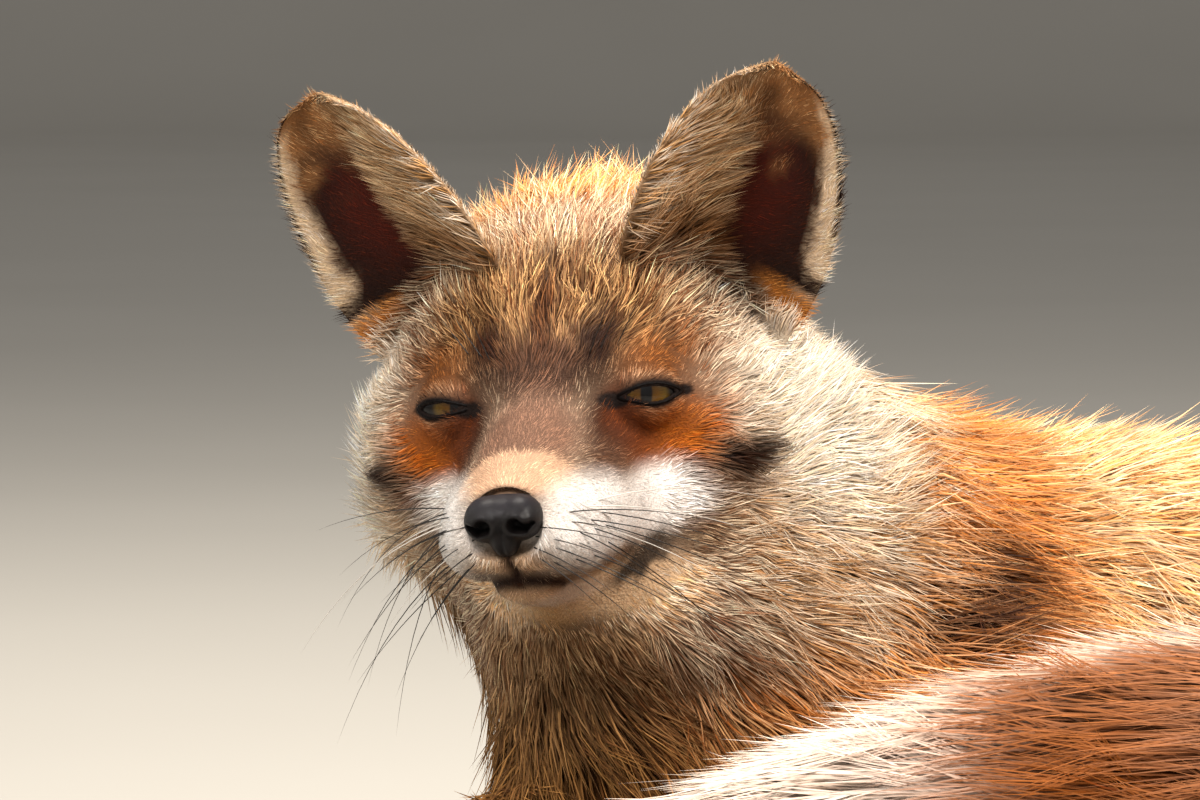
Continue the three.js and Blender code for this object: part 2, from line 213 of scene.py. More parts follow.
def ear_shell(side):
    """A fine ear to go into the skin, in the head's frame."""
    bm = bmesh.new()
    bmesh.ops.create_uvsphere(bm, u_segments=64, v_segments=48, radius=1)
    ball = verts_of(bm)
    ring = np.hypot(ball[:, 0], ball[:, 1])
    sideways = np.where(ring > 1e-3, ball[:, 0] / np.maximum(ring, 1e-3), 0)
    height = (ball[:, 2] + 1) / 2
    wide = EAR_HALF_WIDTH * np.sin(math.pi * height**EAR_WIDEST).clip(0) ** EAR_ROUND
    fold = EAR_CUP * (1 - EAR_FLATTENS * height) * sideways**2
    thick = EAR_THICKNESS / 2 * -np.sign(ball[:, 1]) * np.abs(ball[:, 1]) ** EAR_BLUNT
    lift = (height * (1 + EAR_ROOT) - EAR_ROOT) * EAR_LENGTH
    up, outward, forward = ear_axes(side)
    points = EAR_BASE[side] + np.outer(lift, up) + np.outer(wide * sideways, outward)
    points += np.outer(fold + thick, forward)
    if side < 0:
        points *= MIRROR
    place_verts(bm, points)
    bmesh.ops.recalc_face_normals(bm, faces=bm.faces)
    return bm


def on_ear(head_points):
    """Height up the ear (0 to 1), place across it (-1 the outer edge, 1 the inner) and depth
    in front of its middle sheet, each for the ear on the point's own side."""
    result = np.zeros((3, len(head_points)))
    for side in (-1, 1):
        mine = head_points[:, 0] * side >= 0
        away = head_points[mine] * (MIRROR if side < 0 else 1) - EAR_BASE[side]
        up, outward, forward = ear_axes(side)
        height = away @ up / EAR_LENGTH
        share = np.clip((height + EAR_ROOT) / (1 + EAR_ROOT), 0, 1)
        wide = EAR_HALF_WIDTH * np.sin(math.pi * share**EAR_WIDEST).clip(0.02) ** EAR_ROUND
        place = -(away @ outward) / wide
        fold = EAR_CUP * (1 - EAR_FLATTENS * share) * np.clip(place, -1, 1) ** 2
        result[:, mine] = height, place, away @ forward - fold
    return result


# ---------- Mesh helpers ----------
def add_object(name, mesh):
    piece = bpy.data.objects.new(name, mesh)
    bpy.context.scene.collection.objects.link(piece)
    return piece


def field_of(items, field, width, kind=np.float32):
    """One field of all of a mesh's items, with a row for each."""
    flat = np.empty(len(items) * width, kind)
    items.foreach_get(field, flat)
    return flat.reshape(-1, width)


def points_of(mesh):
    """In millimetres."""
    return field_of(mesh.vertices, "co", 3).astype(float) * 1000


def normals_of(mesh):
    return field_of(mesh.vertex_normals, "vector", 3).astype(float)


def edges_of(mesh):
    return field_of(mesh.edges, "vertices", 2, np.int32)


def triangles_of(mesh):
    mesh.calc_loop_triangles()
    return field_of(mesh.loop_triangles, "vertices", 3, np.int32)


def set_points(mesh, points):
    mesh.vertices.foreach_set("co", (points / 1000).astype(np.float32).ravel())
    mesh.update()


def verts_of(bm):
    return np.array([vert.co for vert in bm.verts])


def place_verts(bm, head_points):
    """Moves a form's points to these, given in the head's frame."""
    for vert, place in zip(bm.verts, from_head(head_points)):
        vert.co = place / 1000


def spread(values, edges, times, share=0.5):
    """Evens out values over a net, each towards the mean of its neighbours."""
    values = np.array(values, float)
    flat = values.reshape(len(values), -1)
    share = np.broadcast_to(np.asarray(share, float).reshape(-1, 1), (len(flat), 1))
    a, b = edges[:, 0], edges[:, 1]
    count = np.maximum(np.bincount(edges.ravel(), minlength=len(flat)), 1)[:, None]
    for _ in range(times):
        total = np.zeros_like(flat)
        for k in range(flat.shape[1]):
            column = flat[:, k]
            total[:, k] = np.bincount(a, column[b], len(flat)) + np.bincount(b, column[a], len(flat))
        flat = flat + share * (total / count - flat)
    return flat.reshape(values.shape)


def paint(mesh, name, colours):
    layer = mesh.color_attributes.new(name, "FLOAT_COLOR", "POINT")
    rgba = np.ones((len(colours), 4), np.float32)
    rgba[:, :3] = np.clip(colours, 0, 1)
    layer.data.foreach_set("color", rgba.ravel())


def smooth(mesh):
    mesh.polygons.foreach_set("use_smooth", np.ones(len(mesh.polygons), bool))


def mesh_from(bm, name):
    mesh = bpy.data.meshes.new(name)
    bm.to_mesh(mesh)
    bm.free()
    return mesh


def ball_mesh(bm, name):
    """The mesh of a form that began as a ball, with its faces sorted. They come in a random
    order, which would give the ears other hairs each time."""
    bm.verts.index_update()
    points = [tuple(vert.co) for vert in bm.verts]
    faces = sorted([vert.index for vert in face.verts] for face in bm.faces)
    bm.free()
    mesh = bpy.data.meshes.new(name)
    mesh.from_pydata(points, [], faces)
    return mesh


def applied(piece):
    """The piece's mesh with its modifiers applied. The piece itself goes."""
    final = piece.evaluated_get(bpy.context.evaluated_depsgraph_get())
    mesh = bpy.data.meshes.new_from_object(final)
    bpy.data.objects.remove(piece)
    return mesh


# ---------- Skin: the form ----------
BARE = ("nose", "eye_right", "eye_left")
EARS = ("ear_right", "ear_left")
FUSE = 0.7  # how far each solid is swollen, so that the cuts between them close
SKIN_VOXEL = 3.1
DRAW_STEPS = 6
COAT_LIES = 0.78  # of its depth, that the lying coat takes up
flesh = [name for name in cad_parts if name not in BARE]


def flesh_form():
    """The flesh as one closed skin, that runs on under the nose and over the eyes."""
    bm = bmesh.new()
    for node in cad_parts:
        if node not in EARS:
            bm.from_mesh(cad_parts[node].data)
    bmesh.ops.remove_doubles(bm, verts=bm.verts, dist=1e-6)
    bm.normal_update()
    for vert in bm.verts:
        vert.co += vert.normal * FUSE / 1000
    form = add_object("flesh_form", mesh_from(bm, "flesh_form"))
    remesh = form.modifiers.new("fuse", "REMESH")
    remesh.mode = "VOXEL"
    remesh.voxel_size = SKIN_VOXEL / 1000
    return applied(form)


def with_ears(mesh):
    """The skin joined to its two ears."""
    form = add_object("flesh_form", mesh)
    shells = [add_object("ear_shell", ball_mesh(ear_shell(side), "ear_shell")) for side in (-1, 1)]
    for shell in shells:
        join = form.modifiers.new("join", "BOOLEAN")
        join.operation = "UNION"
        join.solver = "EXACT"
        join.object = shell
    joined = applied(form)
    for shell in shells:
        bpy.data.objects.remove(shell)
    return joined


def nearest_nodes(points):
    """The flesh node whose surface is nearest to each point."""
    corners, faces, owners = [], [], []
    for number, node in enumerate(flesh):
        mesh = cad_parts[node].data
        start = len(corners)
        corners.extend(v.co for v in mesh.vertices)
        for face in mesh.polygons:
            faces.append([start + v for v in face.vertices])
            owners.append(number)
    tree = BVHTree.FromPolygons(corners, faces)
    return np.array([owners[tree.find_nearest(Vector(p / 1000))[2]] for p in points])


def head_depth(h):
    """How deep the coat is over the head."""
    x, y, z = np.abs(h[:, 0]), h[:, 1], h[:, 2]
    depth = 1.2 + 2.6 * rise(-22, 18, y) + 9 * rise(34, 92, y)
    depth += 9 * rise(26, 56, x) * rise(12, -22, z) * rise(-4, 40, y)
    depth += 7 * rise(-46, -74, z) * rise(-34, 0, y)
    return depth * (1 - 0.72 * near(h, EYE_CENTRE, (17, 15, 12), 0.45))


def of_nodes(owner, *names):
    return np.isin(owner, [i for i, node in enumerate(flesh) if node.startswith(names)])


def coat_depths(points, owner):
    """How far the skin lies inside the coat's outline."""
    depth = np.zeros(len(points))
    for name, line in lines.items():
        mine = np.array([line_of(node) == name for node in flesh])[owner]
        depth[mine] = line.depth[line.nearest(points[mine])]
    head = of_nodes(owner, "head")
    depth[head] = head_depth(in_head(points[head]))
    return depth


def shaped_skin():
    """The skin's mesh, smoothed, drawn in by the coat's depth and given its ears."""
    mesh = flesh_form()
    points, edges = points_of(mesh), edges_of(mesh)
    owner = nearest_nodes(points)
    head = of_nodes(owner, "head", "ear")
    trunk = ~head & ~of_nodes(owner, *LEGS)
    points = spread(points, edges, 8)
    points = spread(points, edges, 24, 0.5 * spread(~head, edges, 3))
    points = spread(points, edges, 60, 0.5 * spread(trunk, edges, 5))
    depth = COAT_LIES * spread(coat_depths(points, owner), edges, 14)
    set_points(mesh, points)
    for _ in range(DRAW_STEPS):
        points = points - normals_of(mesh) * ((depth + FUSE) / DRAW_STEPS)[:, None]
        points = spread(points, edges, 2, 0.4 * np.clip(depth / 10, 0, 1))
        set_points(mesh, points)

    mesh = with_ears(mesh)
    points, edges = points_of(mesh), edges_of(mesh)
    ear = spread(of_nodes(nearest_nodes(points), "ear"), edges, 6)
    root = np.clip(6 * ear * (1 - ear), 0, 1)
    set_points(mesh, spread(points, edges, 10, 0.5 * root))
    return mesh


def refined(mesh, region):
    """Splits the skin's faces where region says that a point belongs to it."""
    bm = bmesh.new()
    bm.from_mesh(mesh)
    inside = region(in_head(verts_of(bm) * 1000))
    bm.verts.ensure_lookup_table()
    chosen = [e for e in bm.edges if inside[e.verts[0].index] and inside[e.verts[1].index]]
    bmesh.ops.subdivide_edges(bm, edges=chosen, cuts=1, use_grid_fill=True, smooth=0)
    bmesh.ops.triangulate(bm, faces=[f for f in bm.faces if len(f.verts) > 4])
    bm.to_mesh(mesh)
    bm.free()


# ---------- Eyes and lids ----------
# In the frame of the left side: forward out of the eye, and along the slit to its outer corner.
SLIT_SLANT = math.radians(-4)
EYE_TURN = math.radians(25)  # outwards from straight ahead
LID_RADIUS = EYE_RADIUS + 0.8
# Of each side: half the slit's length, its middle, and how far it opens above and below that.
SLIT_HALF = {-1: 6.4, 1: 7.0}
SLIT_MIDDLE = {-1: -1.0, 1: 0.0}
LID_OPEN = {-1: (1.4, 1.8), 1: (1.9, 2.2)}
LID_BAND = 1.5  # how wide the lids' bare edge is
eye_forward = unit(np.array([math.sin(EYE_TURN), -math.cos(EYE_TURN), 0.15]))
level = unit(np.cross(eye_forward, [0, 0, -1]))
eye_along = math.cos(SLIT_SLANT) * level + math.sin(SLIT_SLANT) * np.array([0, 0, 1])
eye_along = unit(eye_along - eye_forward * (eye_along @ eye_forward))
eye_above = np.cross(eye_forward, eye_along)
eye_above *= np.sign(eye_above[2])
EYE_CENTRE = np.array([abs(in_head(middle("eye_left"))[0]), EYE_BACK, 0])


def on_eye(head_points):
    """Along the slit, above it, and forward of the eye's middle, for the eye on each side."""
    folded = head_points * np.where(head_points[:, :1] < 0, MIRROR, 1)
    away = folded - EYE_CENTRE
    return away @ eye_along, away @ eye_above, away @ eye_forward


def lid_edges(side, along):
    """Heights of the upper and lower lid over the slit's middle."""
    share = np.clip(np.abs(along - SLIT_MIDDLE[side]) / SLIT_HALF[side], 0, 1)
    above, below = LID_OPEN[side]
    return above * (1 - share**2.4), -below * (1 - share**2.0)


def outside_slit(head_points):
    """Distance from the slit between the lids, below zero in it."""
    along, above, _ = on_eye(head_points)
    distance = np.empty(len(along))
    for side in (-1, 1):
        mine = np.sign(head_points[:, 0]) == side if side < 0 else head_points[:, 0] >= 0
        upper, lower = lid_edges(side, along[mine])
        over = np.maximum(above[mine] - upper, lower - above[mine])
        past = np.abs(along[mine] - SLIT_MIDDLE[side]) - SLIT_HALF[side]
        distance[mine] = np.where(past > 0, np.hypot(past, above[mine]), np.maximum(over, past * 0.4))
    return distance


def shape_lids(h):
    """Lays the skin round each eye over the ball, and opens the slit."""
    along, above, ahead = on_eye(h)
    away = np.hypot(along, above)
    lid = np.sqrt(np.maximum(LID_RADIUS**2 - away**2, 25))
    slit = outside_slit(h)
    lid = lid - 3.4 * rise(0.2, -1.0, slit)
    crease = 0.9 * np.exp(-(((above - 7.2 + 0.02 * along**2) / 1.3) ** 2)) * rise(11, 6, np.abs(along))
    hold = rise(13, 6.5, away) * rise(-4, 0, ahead)
    move = (lid - crease - ahead) * hold
    folded = np.where(h[:, :1] < 0, MIRROR, 1)
    return h + np.outer(move, eye_forward) * folded


# ---------- Mouth and muzzle ----------
# The line between the lips, from the middle to the corner: y back, z up, in the head's frame.
LIP_BACK = np.array([-58, -50, -40, -26, -12, -2.0])
LIP_HEIGHT = np.array([-35.0, -38.6, -41.6, -42, -40, -37.5])


def outside_lips(h):
    """Height above the line between the lips."""
    return h[:, 2] - np.interp(h[:, 1], LIP_BACK, LIP_HEIGHT)


def shape_mouth(h, outward):
    """Presses in the line between the lips, the groove under the nose and rounds the pads."""
    over = outside_lips(h)
    lips = np.exp(-((over / 1.5) ** 2)) * rise(-16, -36, h[:, 1]) * rise(-64, -58, h[:, 2])
    groove = np.exp(-((h[:, 0] / 1.3) ** 2)) * rise(-46, -52, h[:, 1]) * rise(-39, -37, h[:, 2])
    groove *= rise(-26, -30, h[:, 2])
    pads = rise(0, 5, over) * rise(16, 8, over) * rise(-20, -34, h[:, 1]) * rise(2, 7, np.abs(h[:, 0]))
    bed = near(h, (0, -61, -20.5), (9.5, 11, 9), 0.12)
    return h - outward * (1.8 * lips + 1.3 * groove - 1.0 * pads)[:, None] + np.outer(bed, [0, 7, 0])


def near(h, centre, radii, soft=0.35):
    """1 inside an egg, 0 outside it, the same on both sides of the head."""
    folded = np.abs(h[:, 0])
    away = np.stack([folded - abs(centre[0]), h[:, 1] - centre[1], h[:, 2] - centre[2]], 1)
    return rise(1 + soft, 1 - soft, np.linalg.norm(away / np.array(radii, float), axis=1))


# ---------- Markings ----------
RUSSET = tint(0xB0540F)
DEEP_RUSSET = tint(0x6A2C06)
ORANGE = tint(0xE08428)
BROWN = tint(0x703A12)
UMBER = tint(0x45220C)
DARK = tint(0x281206)
BLACK = tint(0x0E0908)
CREAM = tint(0xF8E4C4)
STRAW = tint(0xE6AC62)
WHITE = tint(0xFAF6F2)
SAND = tint(0xEBBB8A)
BRIDGE = tint(0xC08E72)
SMOKE = tint(0x4A2C18)
SADDLE = tint(0xE2B592)
CUP = tint(0x2C1009)
EMBER = tint(0x5C1E0E)
BRUSH = tint(0xC0743C)
PINK_CREAM = tint(0xFCDCC2)


class Markings:
    """The hair's colours low down and at its tip, at each of some points of the skin."""

    def __init__(self, count, low, tip):
        self.low, self.tip = (np.tile(colour, (count, 1)) for colour in (low, tip))

    def lay(self, low, tip, share, tip_share=None):
        """Lays two colours over those that are there, by their share at each point."""
        self.low = mixed(self.low, low, share)
        self.tip = mixed(self.tip, tip, share if tip_share is None else tip_share)


def head_markings(h):
    """Of the crown, face, muzzle and cheeks."""
    marks = Markings(len(h), mixed(BROWN, UMBER, 0.3), CREAM)
    lay = marks.lay

    def patch(low, tip, centre, radii, soft, most=1):
        lay(low, tip, near(h, centre, radii, soft) * most)

    x, y, z = np.abs(h[:, 0]), h[:, 1], h[:, 2]
    lay(BROWN, mixed(CREAM, STRAW, 0.25), rise(16, 38, z))
    lay(ORANGE, mixed(CREAM, STRAW, 0.35), rise(52, 74, y) * rise(10, 34, z))
    patch(mixed(BROWN, UMBER, 0.8), mixed(STRAW, BROWN, 0.15), (0, 6, 20), (42, 24, 16), 0.5, 0.85)
    patch(mixed(RUSSET, BROWN, 0.6), mixed(ORANGE, BROWN, 0.4), (32, 4, -12), (15, 19, 13), 0.7)
    patch(RUSSET, mixed(ORANGE, BROWN, 0.25), (32, 1, -11), (10, 12, 7), 0.8, 0.8)
    patch(BROWN, mixed(ORANGE, BROWN, 0.5), (31, 4, 9), (13, 14, 6), 0.8, 0.9)
    patch(UMBER, mixed(BROWN, UMBER, 0.3), (19, -12, -3), (6, 15, 9), 0.7)
    patch(DEEP_RUSSET, mixed(RUSSET, DEEP_RUSSET, 0.4), (22, -2, -8), (7, 12, 12), 0.5, 0.8)
    patch(SMOKE * 0.8, mixed(SMOKE, BRIDGE, 0.2), (0, -4, 8), (15, 14, 10), 0.5)
    bridge_tip = mixed(BRIDGE, SMOKE, 0.25) * 0.85
    patch(mixed(BRIDGE, SMOKE, 0.3) * 0.6, bridge_tip, (0, -26, -7), (14, 24, 15), 0.35)
    # painted shade under the brow ridge, above each eye
    patch(DARK, mixed(UMBER, DARK, 0.3), (15, -1, 15), (6, 11, 8), 0.7)
    patch(DARK, BROWN, (0, 5, 22), (3.2, 14, 10), 0.6, 0.9)
    patch(UMBER, mixed(BROWN, BRIDGE, 0.3), (20, -26, -14), (5, 18, 10), 0.6, 0.85)
    patch(SADDLE * 0.85, SADDLE, (6, -46, -10), (13, 11, 8), 0.22)
    patch(mixed(WHITE, SAND, 0.2), WHITE, (16, -40, -25), (16, 25, 11.5), 0.35)
    patch(mixed(WHITE, SAND, 0.2), WHITE, (28, -6, -27), (13, 24, 9), 0.4)
    patch(mixed(SAND, BROWN, 0.2), mixed(SAND, WHITE, 0.4), (4, -58, -32), (6, 6, 4.5), 0.5, 0.8)
    cheek = rise(36, 52, x) * rise(-4, -20, z) * rise(-6, 16, y)
    lay(mixed(BROWN, STRAW, 0.45), mixed(CREAM, WHITE, 0.3), cheek)
    patch(mixed(CREAM, STRAW, 0.2), WHITE, (60, 34, -14), (19, 27, 29), 0.5)
    patch(UMBER, mixed(BROWN, CREAM, 0.3), (45, 5, -22), (9, 12, 8), 0.6, 0.7)
    patch(DARK, DARK, (50, 6, -19), (8, 10, 5), 0.6)
    patch(mixed(STRAW, BROWN, 0.3), mixed(STRAW, CREAM, 0.5), (0, -30, -50), (14, 22, 9), 0.3)
    patch(mixed(STRAW, SAND, 0.5), mixed(CREAM, WHITE, 0.5), (21, -18, -49), (20, 26, 9), 0.4)
    patch(mixed(SAND, BROWN, 0.2), mixed(SAND, WHITE, 0.35), (0, -45, -44), (14, 13, 5), 0.4)
    over = outside_lips(h)
    line = 1.9 - 0.9 * rise(-50, -34, y)
    lay(DARK, mixed(DARK, UMBER, 0.6), np.exp(-(((over + 0.1) / line) ** 2)) * rise(-31, -42, y))
    under_nose = np.exp(-((x / 1.5) ** 2)) * rise(-46, -52, y) * rise(-41, -38, z) * rise(-24, -28, z)
    lay(DARK, UMBER, under_nose)
    slope = (z + 43) - 0.62 * (x - 22)  # the dark patch behind the corner of the mouth runs upwards
    corner = np.hypot(np.hypot((x - 25.5) / 7.5, slope / 3.6), (y + 13) / 14)
    corner += 0.2 * ripple(h, 5, 14)
    lay(mixed(DARK, SMOKE, 0.4), mixed(DARK, CREAM, 0.3), rise(1.8, 0.6, corner))
    patch(SMOKE, mixed(SMOKE, STRAW, 0.4), (36, 2, -38), (7, 8, 6), 0.5, 0.6)
    # painted shade under the chin: the hair just below it is darker
    lay(mixed(SMOKE, BROWN, 0.4), mixed(STRAW, CREAM, 0.4), rise(-53, -61, z) * rise(34, 18, x))
    patch(mixed(SAND, WHITE, 0.4), mixed(CREAM, WHITE, 0.7), (13, -38, -46.5), (13, 15, 4), 0.4, 0.8)
    along, above, ahead = on_eye(h)
    slit = outside_slit(h)
    rims = rise(2.6, 1.3, slit) * rise(-2, 2, ahead) * rise(13, 11.5, np.hypot(along, above))
    tear = rise(1.3, 0.8, np.hypot((along + 10.4) / 4.4, (above + 1.2) / 2.3)) * rise(-4, 0, ahead)
    tail = rise(1.4, 0.8, np.hypot((along - 9) / 3.2, (above - 0.2) / 1.5)) * rise(-4, 0, ahead)
    lay(DARK * 0.5, DARK, np.maximum(np.maximum(rims, tear), tail))
    return marks


def body_markings(points):
    """Of the trunk and tail."""
    marks = Markings(len(points), RUSSET, STRAW)
    lay = marks.lay
    spine = lines["spine"]
    which = spine.nearest(points)
    along = spine.along[which]
    side = points - spine.points[which]
    reach = np.maximum(np.linalg.norm(side, axis=1), 1e-6)
    over = side[:, 2] / reach  # 1 on the back
    patch = 0.5 + 0.5 * ripple(points, 60, 3)
    behind_head = rise(0.12, 0.08, along) * (1 - 0.8 * rise(0.1, 0.5, side[:, 1] / reach))
    lay(mixed(STRAW, CREAM, 0.3), mixed(CREAM, WHITE, 0.5), behind_head)
    collar = np.exp(-(((along - 0.142) / 0.032) ** 2))
    lay(ORANGE, mixed(ORANGE, CREAM, 0.4), collar * 0.8, collar * 0.9)
    shoulder = rise(0.175, 0.2, along) * rise(0.36, 0.28, along)
    lay(mixed(STRAW, ORANGE, 0.3), CREAM, shoulder * 0.8, shoulder * 0.85)
    flank = rise(0.5, -0.1, over) * rise(0.2, 0.26, along)
    lay(mixed(STRAW, RUSSET, 0.35), CREAM, flank * 0.7, flank * 0.8)
    belly = rise(-0.35, -0.8, over)
    lay(STRAW, CREAM, belly * 0.8, belly)
    under_ruff = rise(0.15, 0.12, along) * rise(-0.25, 0, over) * rise(0.5, 0.3, over)
    lay(STRAW, CREAM, under_ruff * 0.4, under_ruff * 0.7)
    # painted shade: the underside of the neck, under the raised head, is darker
    throat_shade = rise(0.2, 0.1, along) * rise(0.1, -0.4, over)
    lay(mixed(SMOKE, DARK, 0.4), mixed(STRAW, BROWN, 0.4), throat_shade * 0.85, throat_shade)
    # painted shadow in the fold between the neck and the shoulder
    neck_fold_shadow = np.exp(-(((along - 0.151) / 0.019) ** 2)) * rise(0.05, 0.2, side[:, 0] / reach)
    lay(DARK, UMBER, neck_fold_shadow * (rise(-0.1, 0.15, over) * rise(0.68, 0.52, over)))
    # painted shade: the tail's side towards -y is browner
    near_side_shade = rise(4, -8, side[:, 1]) * rise(0.755, 0.725, along)
    pink = rise(0.77, 0.73, along)
    tail_low = mixed(PINK_CREAM, BROWN, 0.1 * patch + 0.2 * pink + 0.7 * near_side_shade)
    tail_tip = mixed(mixed(PINK_CREAM, WHITE, 0.7), BRUSH * 0.85, 0.45 * pink + 0.55 * near_side_shade)
    lay(tail_low, tail_tip, rise(0.53, 0.62, along))
    lay(mixed(WHITE, STRAW, 0.25), WHITE, rise(0.93, 0.965, along))
    return marks


def leg_markings(points, name, down):
    """Russet above and black below, on a leg followed from its top (0) to its toes (1)."""
    first = 0.5 if name.startswith("hind") else 0.3
    dark = rise(first, first + 0.16, down + 0.05 * ripple(points, 14, 12))
    marks = Markings(len(points), mixed(RUSSET, DEEP_RUSSET, 0.3), mixed(ORANGE, STRAW, 0.3))
    marks.lay(DARK, BLACK, dark)
    return marks


def ear_markings(h):
    """Black behind, a dark cup within, and fringes of pale hair at its edges."""
    marks = Markings(len(h), DARK, BLACK)
    lay = marks.lay
    height, place, front = on_ear(h)
    inner = rise(-1.8, -0.6, front)
    ragged = 0.1 * ripple(h, 11, 21)
    glow = rise(0.3, 0.05, np.hypot((height - 0.5) / 1.2, (place + 0.2) / 2))  # light through the ear
    lay(mixed(CUP, EMBER, glow), mixed(mixed(CUP, BROWN, 0.3), EMBER, glow), inner)
    lay(mixed(BROWN, ORANGE, 0.3), mixed(STRAW, CREAM, 0.3), rise(0.6, 0.94, height + ragged) * inner)
    foot = rise(0.42, 0.2, height)
    fringe_low = mixed(mixed(BROWN, STRAW, 0.35), UMBER, 0.15 + 0.65 * foot)
    golden = mixed(mixed(CREAM, STRAW, 0.3), mixed(BROWN, STRAW, 0.25), foot)
    lay(fringe_low, golden, rise(-0.1, 0.5, place + ragged) * inner)
    inner_edge = rise(0.72, 0.92, place) * inner * rise(0.2, 0.45, height)
    lay(mixed(STRAW, BROWN, 0.4), mixed(WHITE, CREAM, 0.5), inner_edge)
    rim = rise(-0.72, -0.84, place + 0.4 * ragged) * inner * rise(0.97, 0.85, height)
    lay(mixed(STRAW, CREAM, 0.4), mixed(CREAM, WHITE, 0.6), rim)
    lay(DARK, DARK, rise(-0.92, -0.98, place) * rise(0.3, 0.5, height) * inner)
    below = rise(0.2, 0.14, height) * rise(-0.3, -0.6, place) * inner
    lay(mixed(BROWN, ORANGE, 0.5), mixed(ORANGE, STRAW, 0.55), below)
    notch = np.hypot((height - 0.21) / 0.035, (place + 0.85) / 0.3)
    lay(DARK, DARK, rise(1.4, 0.7, notch) * inner)
    lay(RUSSET, ORANGE, rise(0.3, 0.08, height) * (1 - inner))
    return marks


# ---------- Building the skin ----------
FACE_REACH = (50, 30, -66, 32)  # x either side, y forward of, z between


def in_face(h):
    x, y, low, high = FACE_REACH
    return (np.abs(h[:, 0]) < x) & (h[:, 1] < y) & (h[:, 2] > low) & (h[:, 2] < high)


def in_fine_face(h):
    along, above, ahead = on_eye(h)
    eye = (np.hypot(along, above) < 12.5) & (ahead > -2)
    mouth = (np.abs(outside_lips(h)) < 6) & (h[:, 1] < 2)
    return (eye | mouth) & (h[:, 2] > -60)


skin_mesh = shaped_skin()
refined(skin_mesh, in_face)
refined(skin_mesh, in_fine_face)
skin_edges = edges_of(skin_mesh)
skin_points = points_of(skin_mesh)
skin_points = spread(skin_points, skin_edges, 3, 0.5 * in_face(in_head(skin_points)))
set_points(skin_mesh, skin_points)
face_points = in_head(skin_points)
face_area = in_face(face_points)
shaped = shape_mouth(face_points, normals_of(skin_mesh) @ HEAD_AXES.T)
shaped = shape_lids(shaped)
skin_points = np.where(face_area[:, None], from_head(shaped), skin_points)
skin_points[:, 2] = np.maximum(skin_points[:, 2], 0.5)
set_points(skin_mesh, skin_points)
smooth(skin_mesh)

# How much of each region a point of the skin belongs to, so that one passes into the next.
REGIONS = ["head", "ear", "spine", *LEGS]
skin_owner = nearest_nodes(skin_points)
SPINE, EAR = REGIONS.index("spine"), REGIONS.index("ear")
region_of_node = [
    next((i for i, region in enumerate(REGIONS) if node.startswith(region)), SPINE) for node in flesh
]
skin_shares = np.eye(len(REGIONS))[np.array(region_of_node)[skin_owner]]
ear_share = spread(skin_shares[:, EAR], skin_edges, 2)
skin_shares[:, EAR] = 0
skin_shares = spread(skin_shares + 1e-9, skin_edges, 16)
skin_shares *= ((1 - ear_share) / skin_shares.sum(1))[:, None]
skin_shares[:, EAR] = ear_share


# ---------- The coat's lie, length and thickness ----------
NOSE_TIP = np.array([0, -60, -14])
BARE_BY_SLIT = 1.0


class Coat:
    """The coat at some points of the skin, to which each region adds by its share of a point."""

    def __init__(self, shares):
        self.shares = shares
        count = len(shares)
        self.low, self.tip, self.lie = (np.zeros((count, 3)) for _ in range(3))
        self.length, self.lean, self.width = (np.zeros(count) for _ in range(3))
        self.crowd, self.calm = np.zeros(count), np.zeros(count)

    def add(self, region, marks, lie, length, lean, width, crowd, calm=0):
        """The lie is along the skin. Crowd is locks per mm2, and calm is how evenly they lie."""
        share = self.shares[:, REGIONS.index(region)]
        self.low += marks.low * share[:, None]
        self.tip += marks.tip * share[:, None]
        self.lie += lie * share[:, None]
        self.length += length * share
        self.lean += lean * share
        self.width += width * share
        self.crowd += crowd * share
        self.calm += calm * share


def head_coat(coat, h):
    depth = head_depth(h)
    y, z = h[:, 1], h[:, 2]
    brow = rise(4, 26, z) * rise(-2, 16, y)
    along, above, ahead = on_eye(h)
    by_eye = rise(17, 8, np.hypot(along, above)) * rise(-4, 2, ahead)
    lips = np.exp(-(((outside_lips(h) + 1) / 2.5) ** 2)) * rise(8, -4, y)
    length = 1.75 * depth + 1.4 + 7.5 * brow * rise(60, 20, y)
    length = between(length, 3.4, by_eye) * (1 - 0.25 * lips)
    lean = np.radians(13 + 26 * brow + 12 * rise(4, 11, depth))
    width = between(0.24, 0.33, rise(3, 9, length)) + 0.1 * rise(14, 30, length)
    crowd = between(2.9, 1.45, rise(3, 8, length)) * between(1, 0.75, rise(12, 28, length))
    crowd *= 1 - 0.2 * brow
    from_nose = unit(h - NOSE_TIP) @ HEAD_AXES
    coat.add("head", head_markings(h), from_nose, length, lean, width, crowd, -0.8 * brow)


def ear_coat(coat, h):
    height, place, front = on_ear(h)
    inner = rise(-0.6, 0.6, front)
    cup = inner * rise(0.3, -0.2, place + 0.13 * ripple(h, 11, 21)) * rise(-0.85, -0.6, place)
    cup *= rise(0.92, 0.62, height)
    flow = np.zeros((len(h), 3))
    for side in (-1, 1):
        mine = h[:, 0] * side >= 0
        up, outward, _ = ear_axes(side)
        share = (inner * rise(1.0, 0.5, height))[mine, None]
        way = up + outward * (0.95 * share - 0.5 * place[mine, None] * (1 - share))
        flow[mine] = way * (MIRROR if side < 0 else 1)
    at_crown = rise(-0.1, 0.5, place) * rise(1.0, 0.5, height)
    rim = rise(0.72, 1.0, np.abs(place))
    fringe = inner * (1 - cup) * (11 * at_crown + 1.2) * (1 - 0.5 * rim)
    length = 2.4 + 1.4 * rise(1.0, 0.6, height) + fringe
    lean = np.radians(16 + 14 * at_crown)
    width = 0.24 + 0.06 * at_crown
    crowd = 1.3 + 0.7 * inner - 0.9 * cup - 0.3 * at_crown * inner
    coat.add("ear", ear_markings(h), flow @ HEAD_AXES, length, lean, width, crowd)


def pressed_flat(points):
    """1 where the coat lies on the floor."""
    return rise(14, 4, points[:, 2])


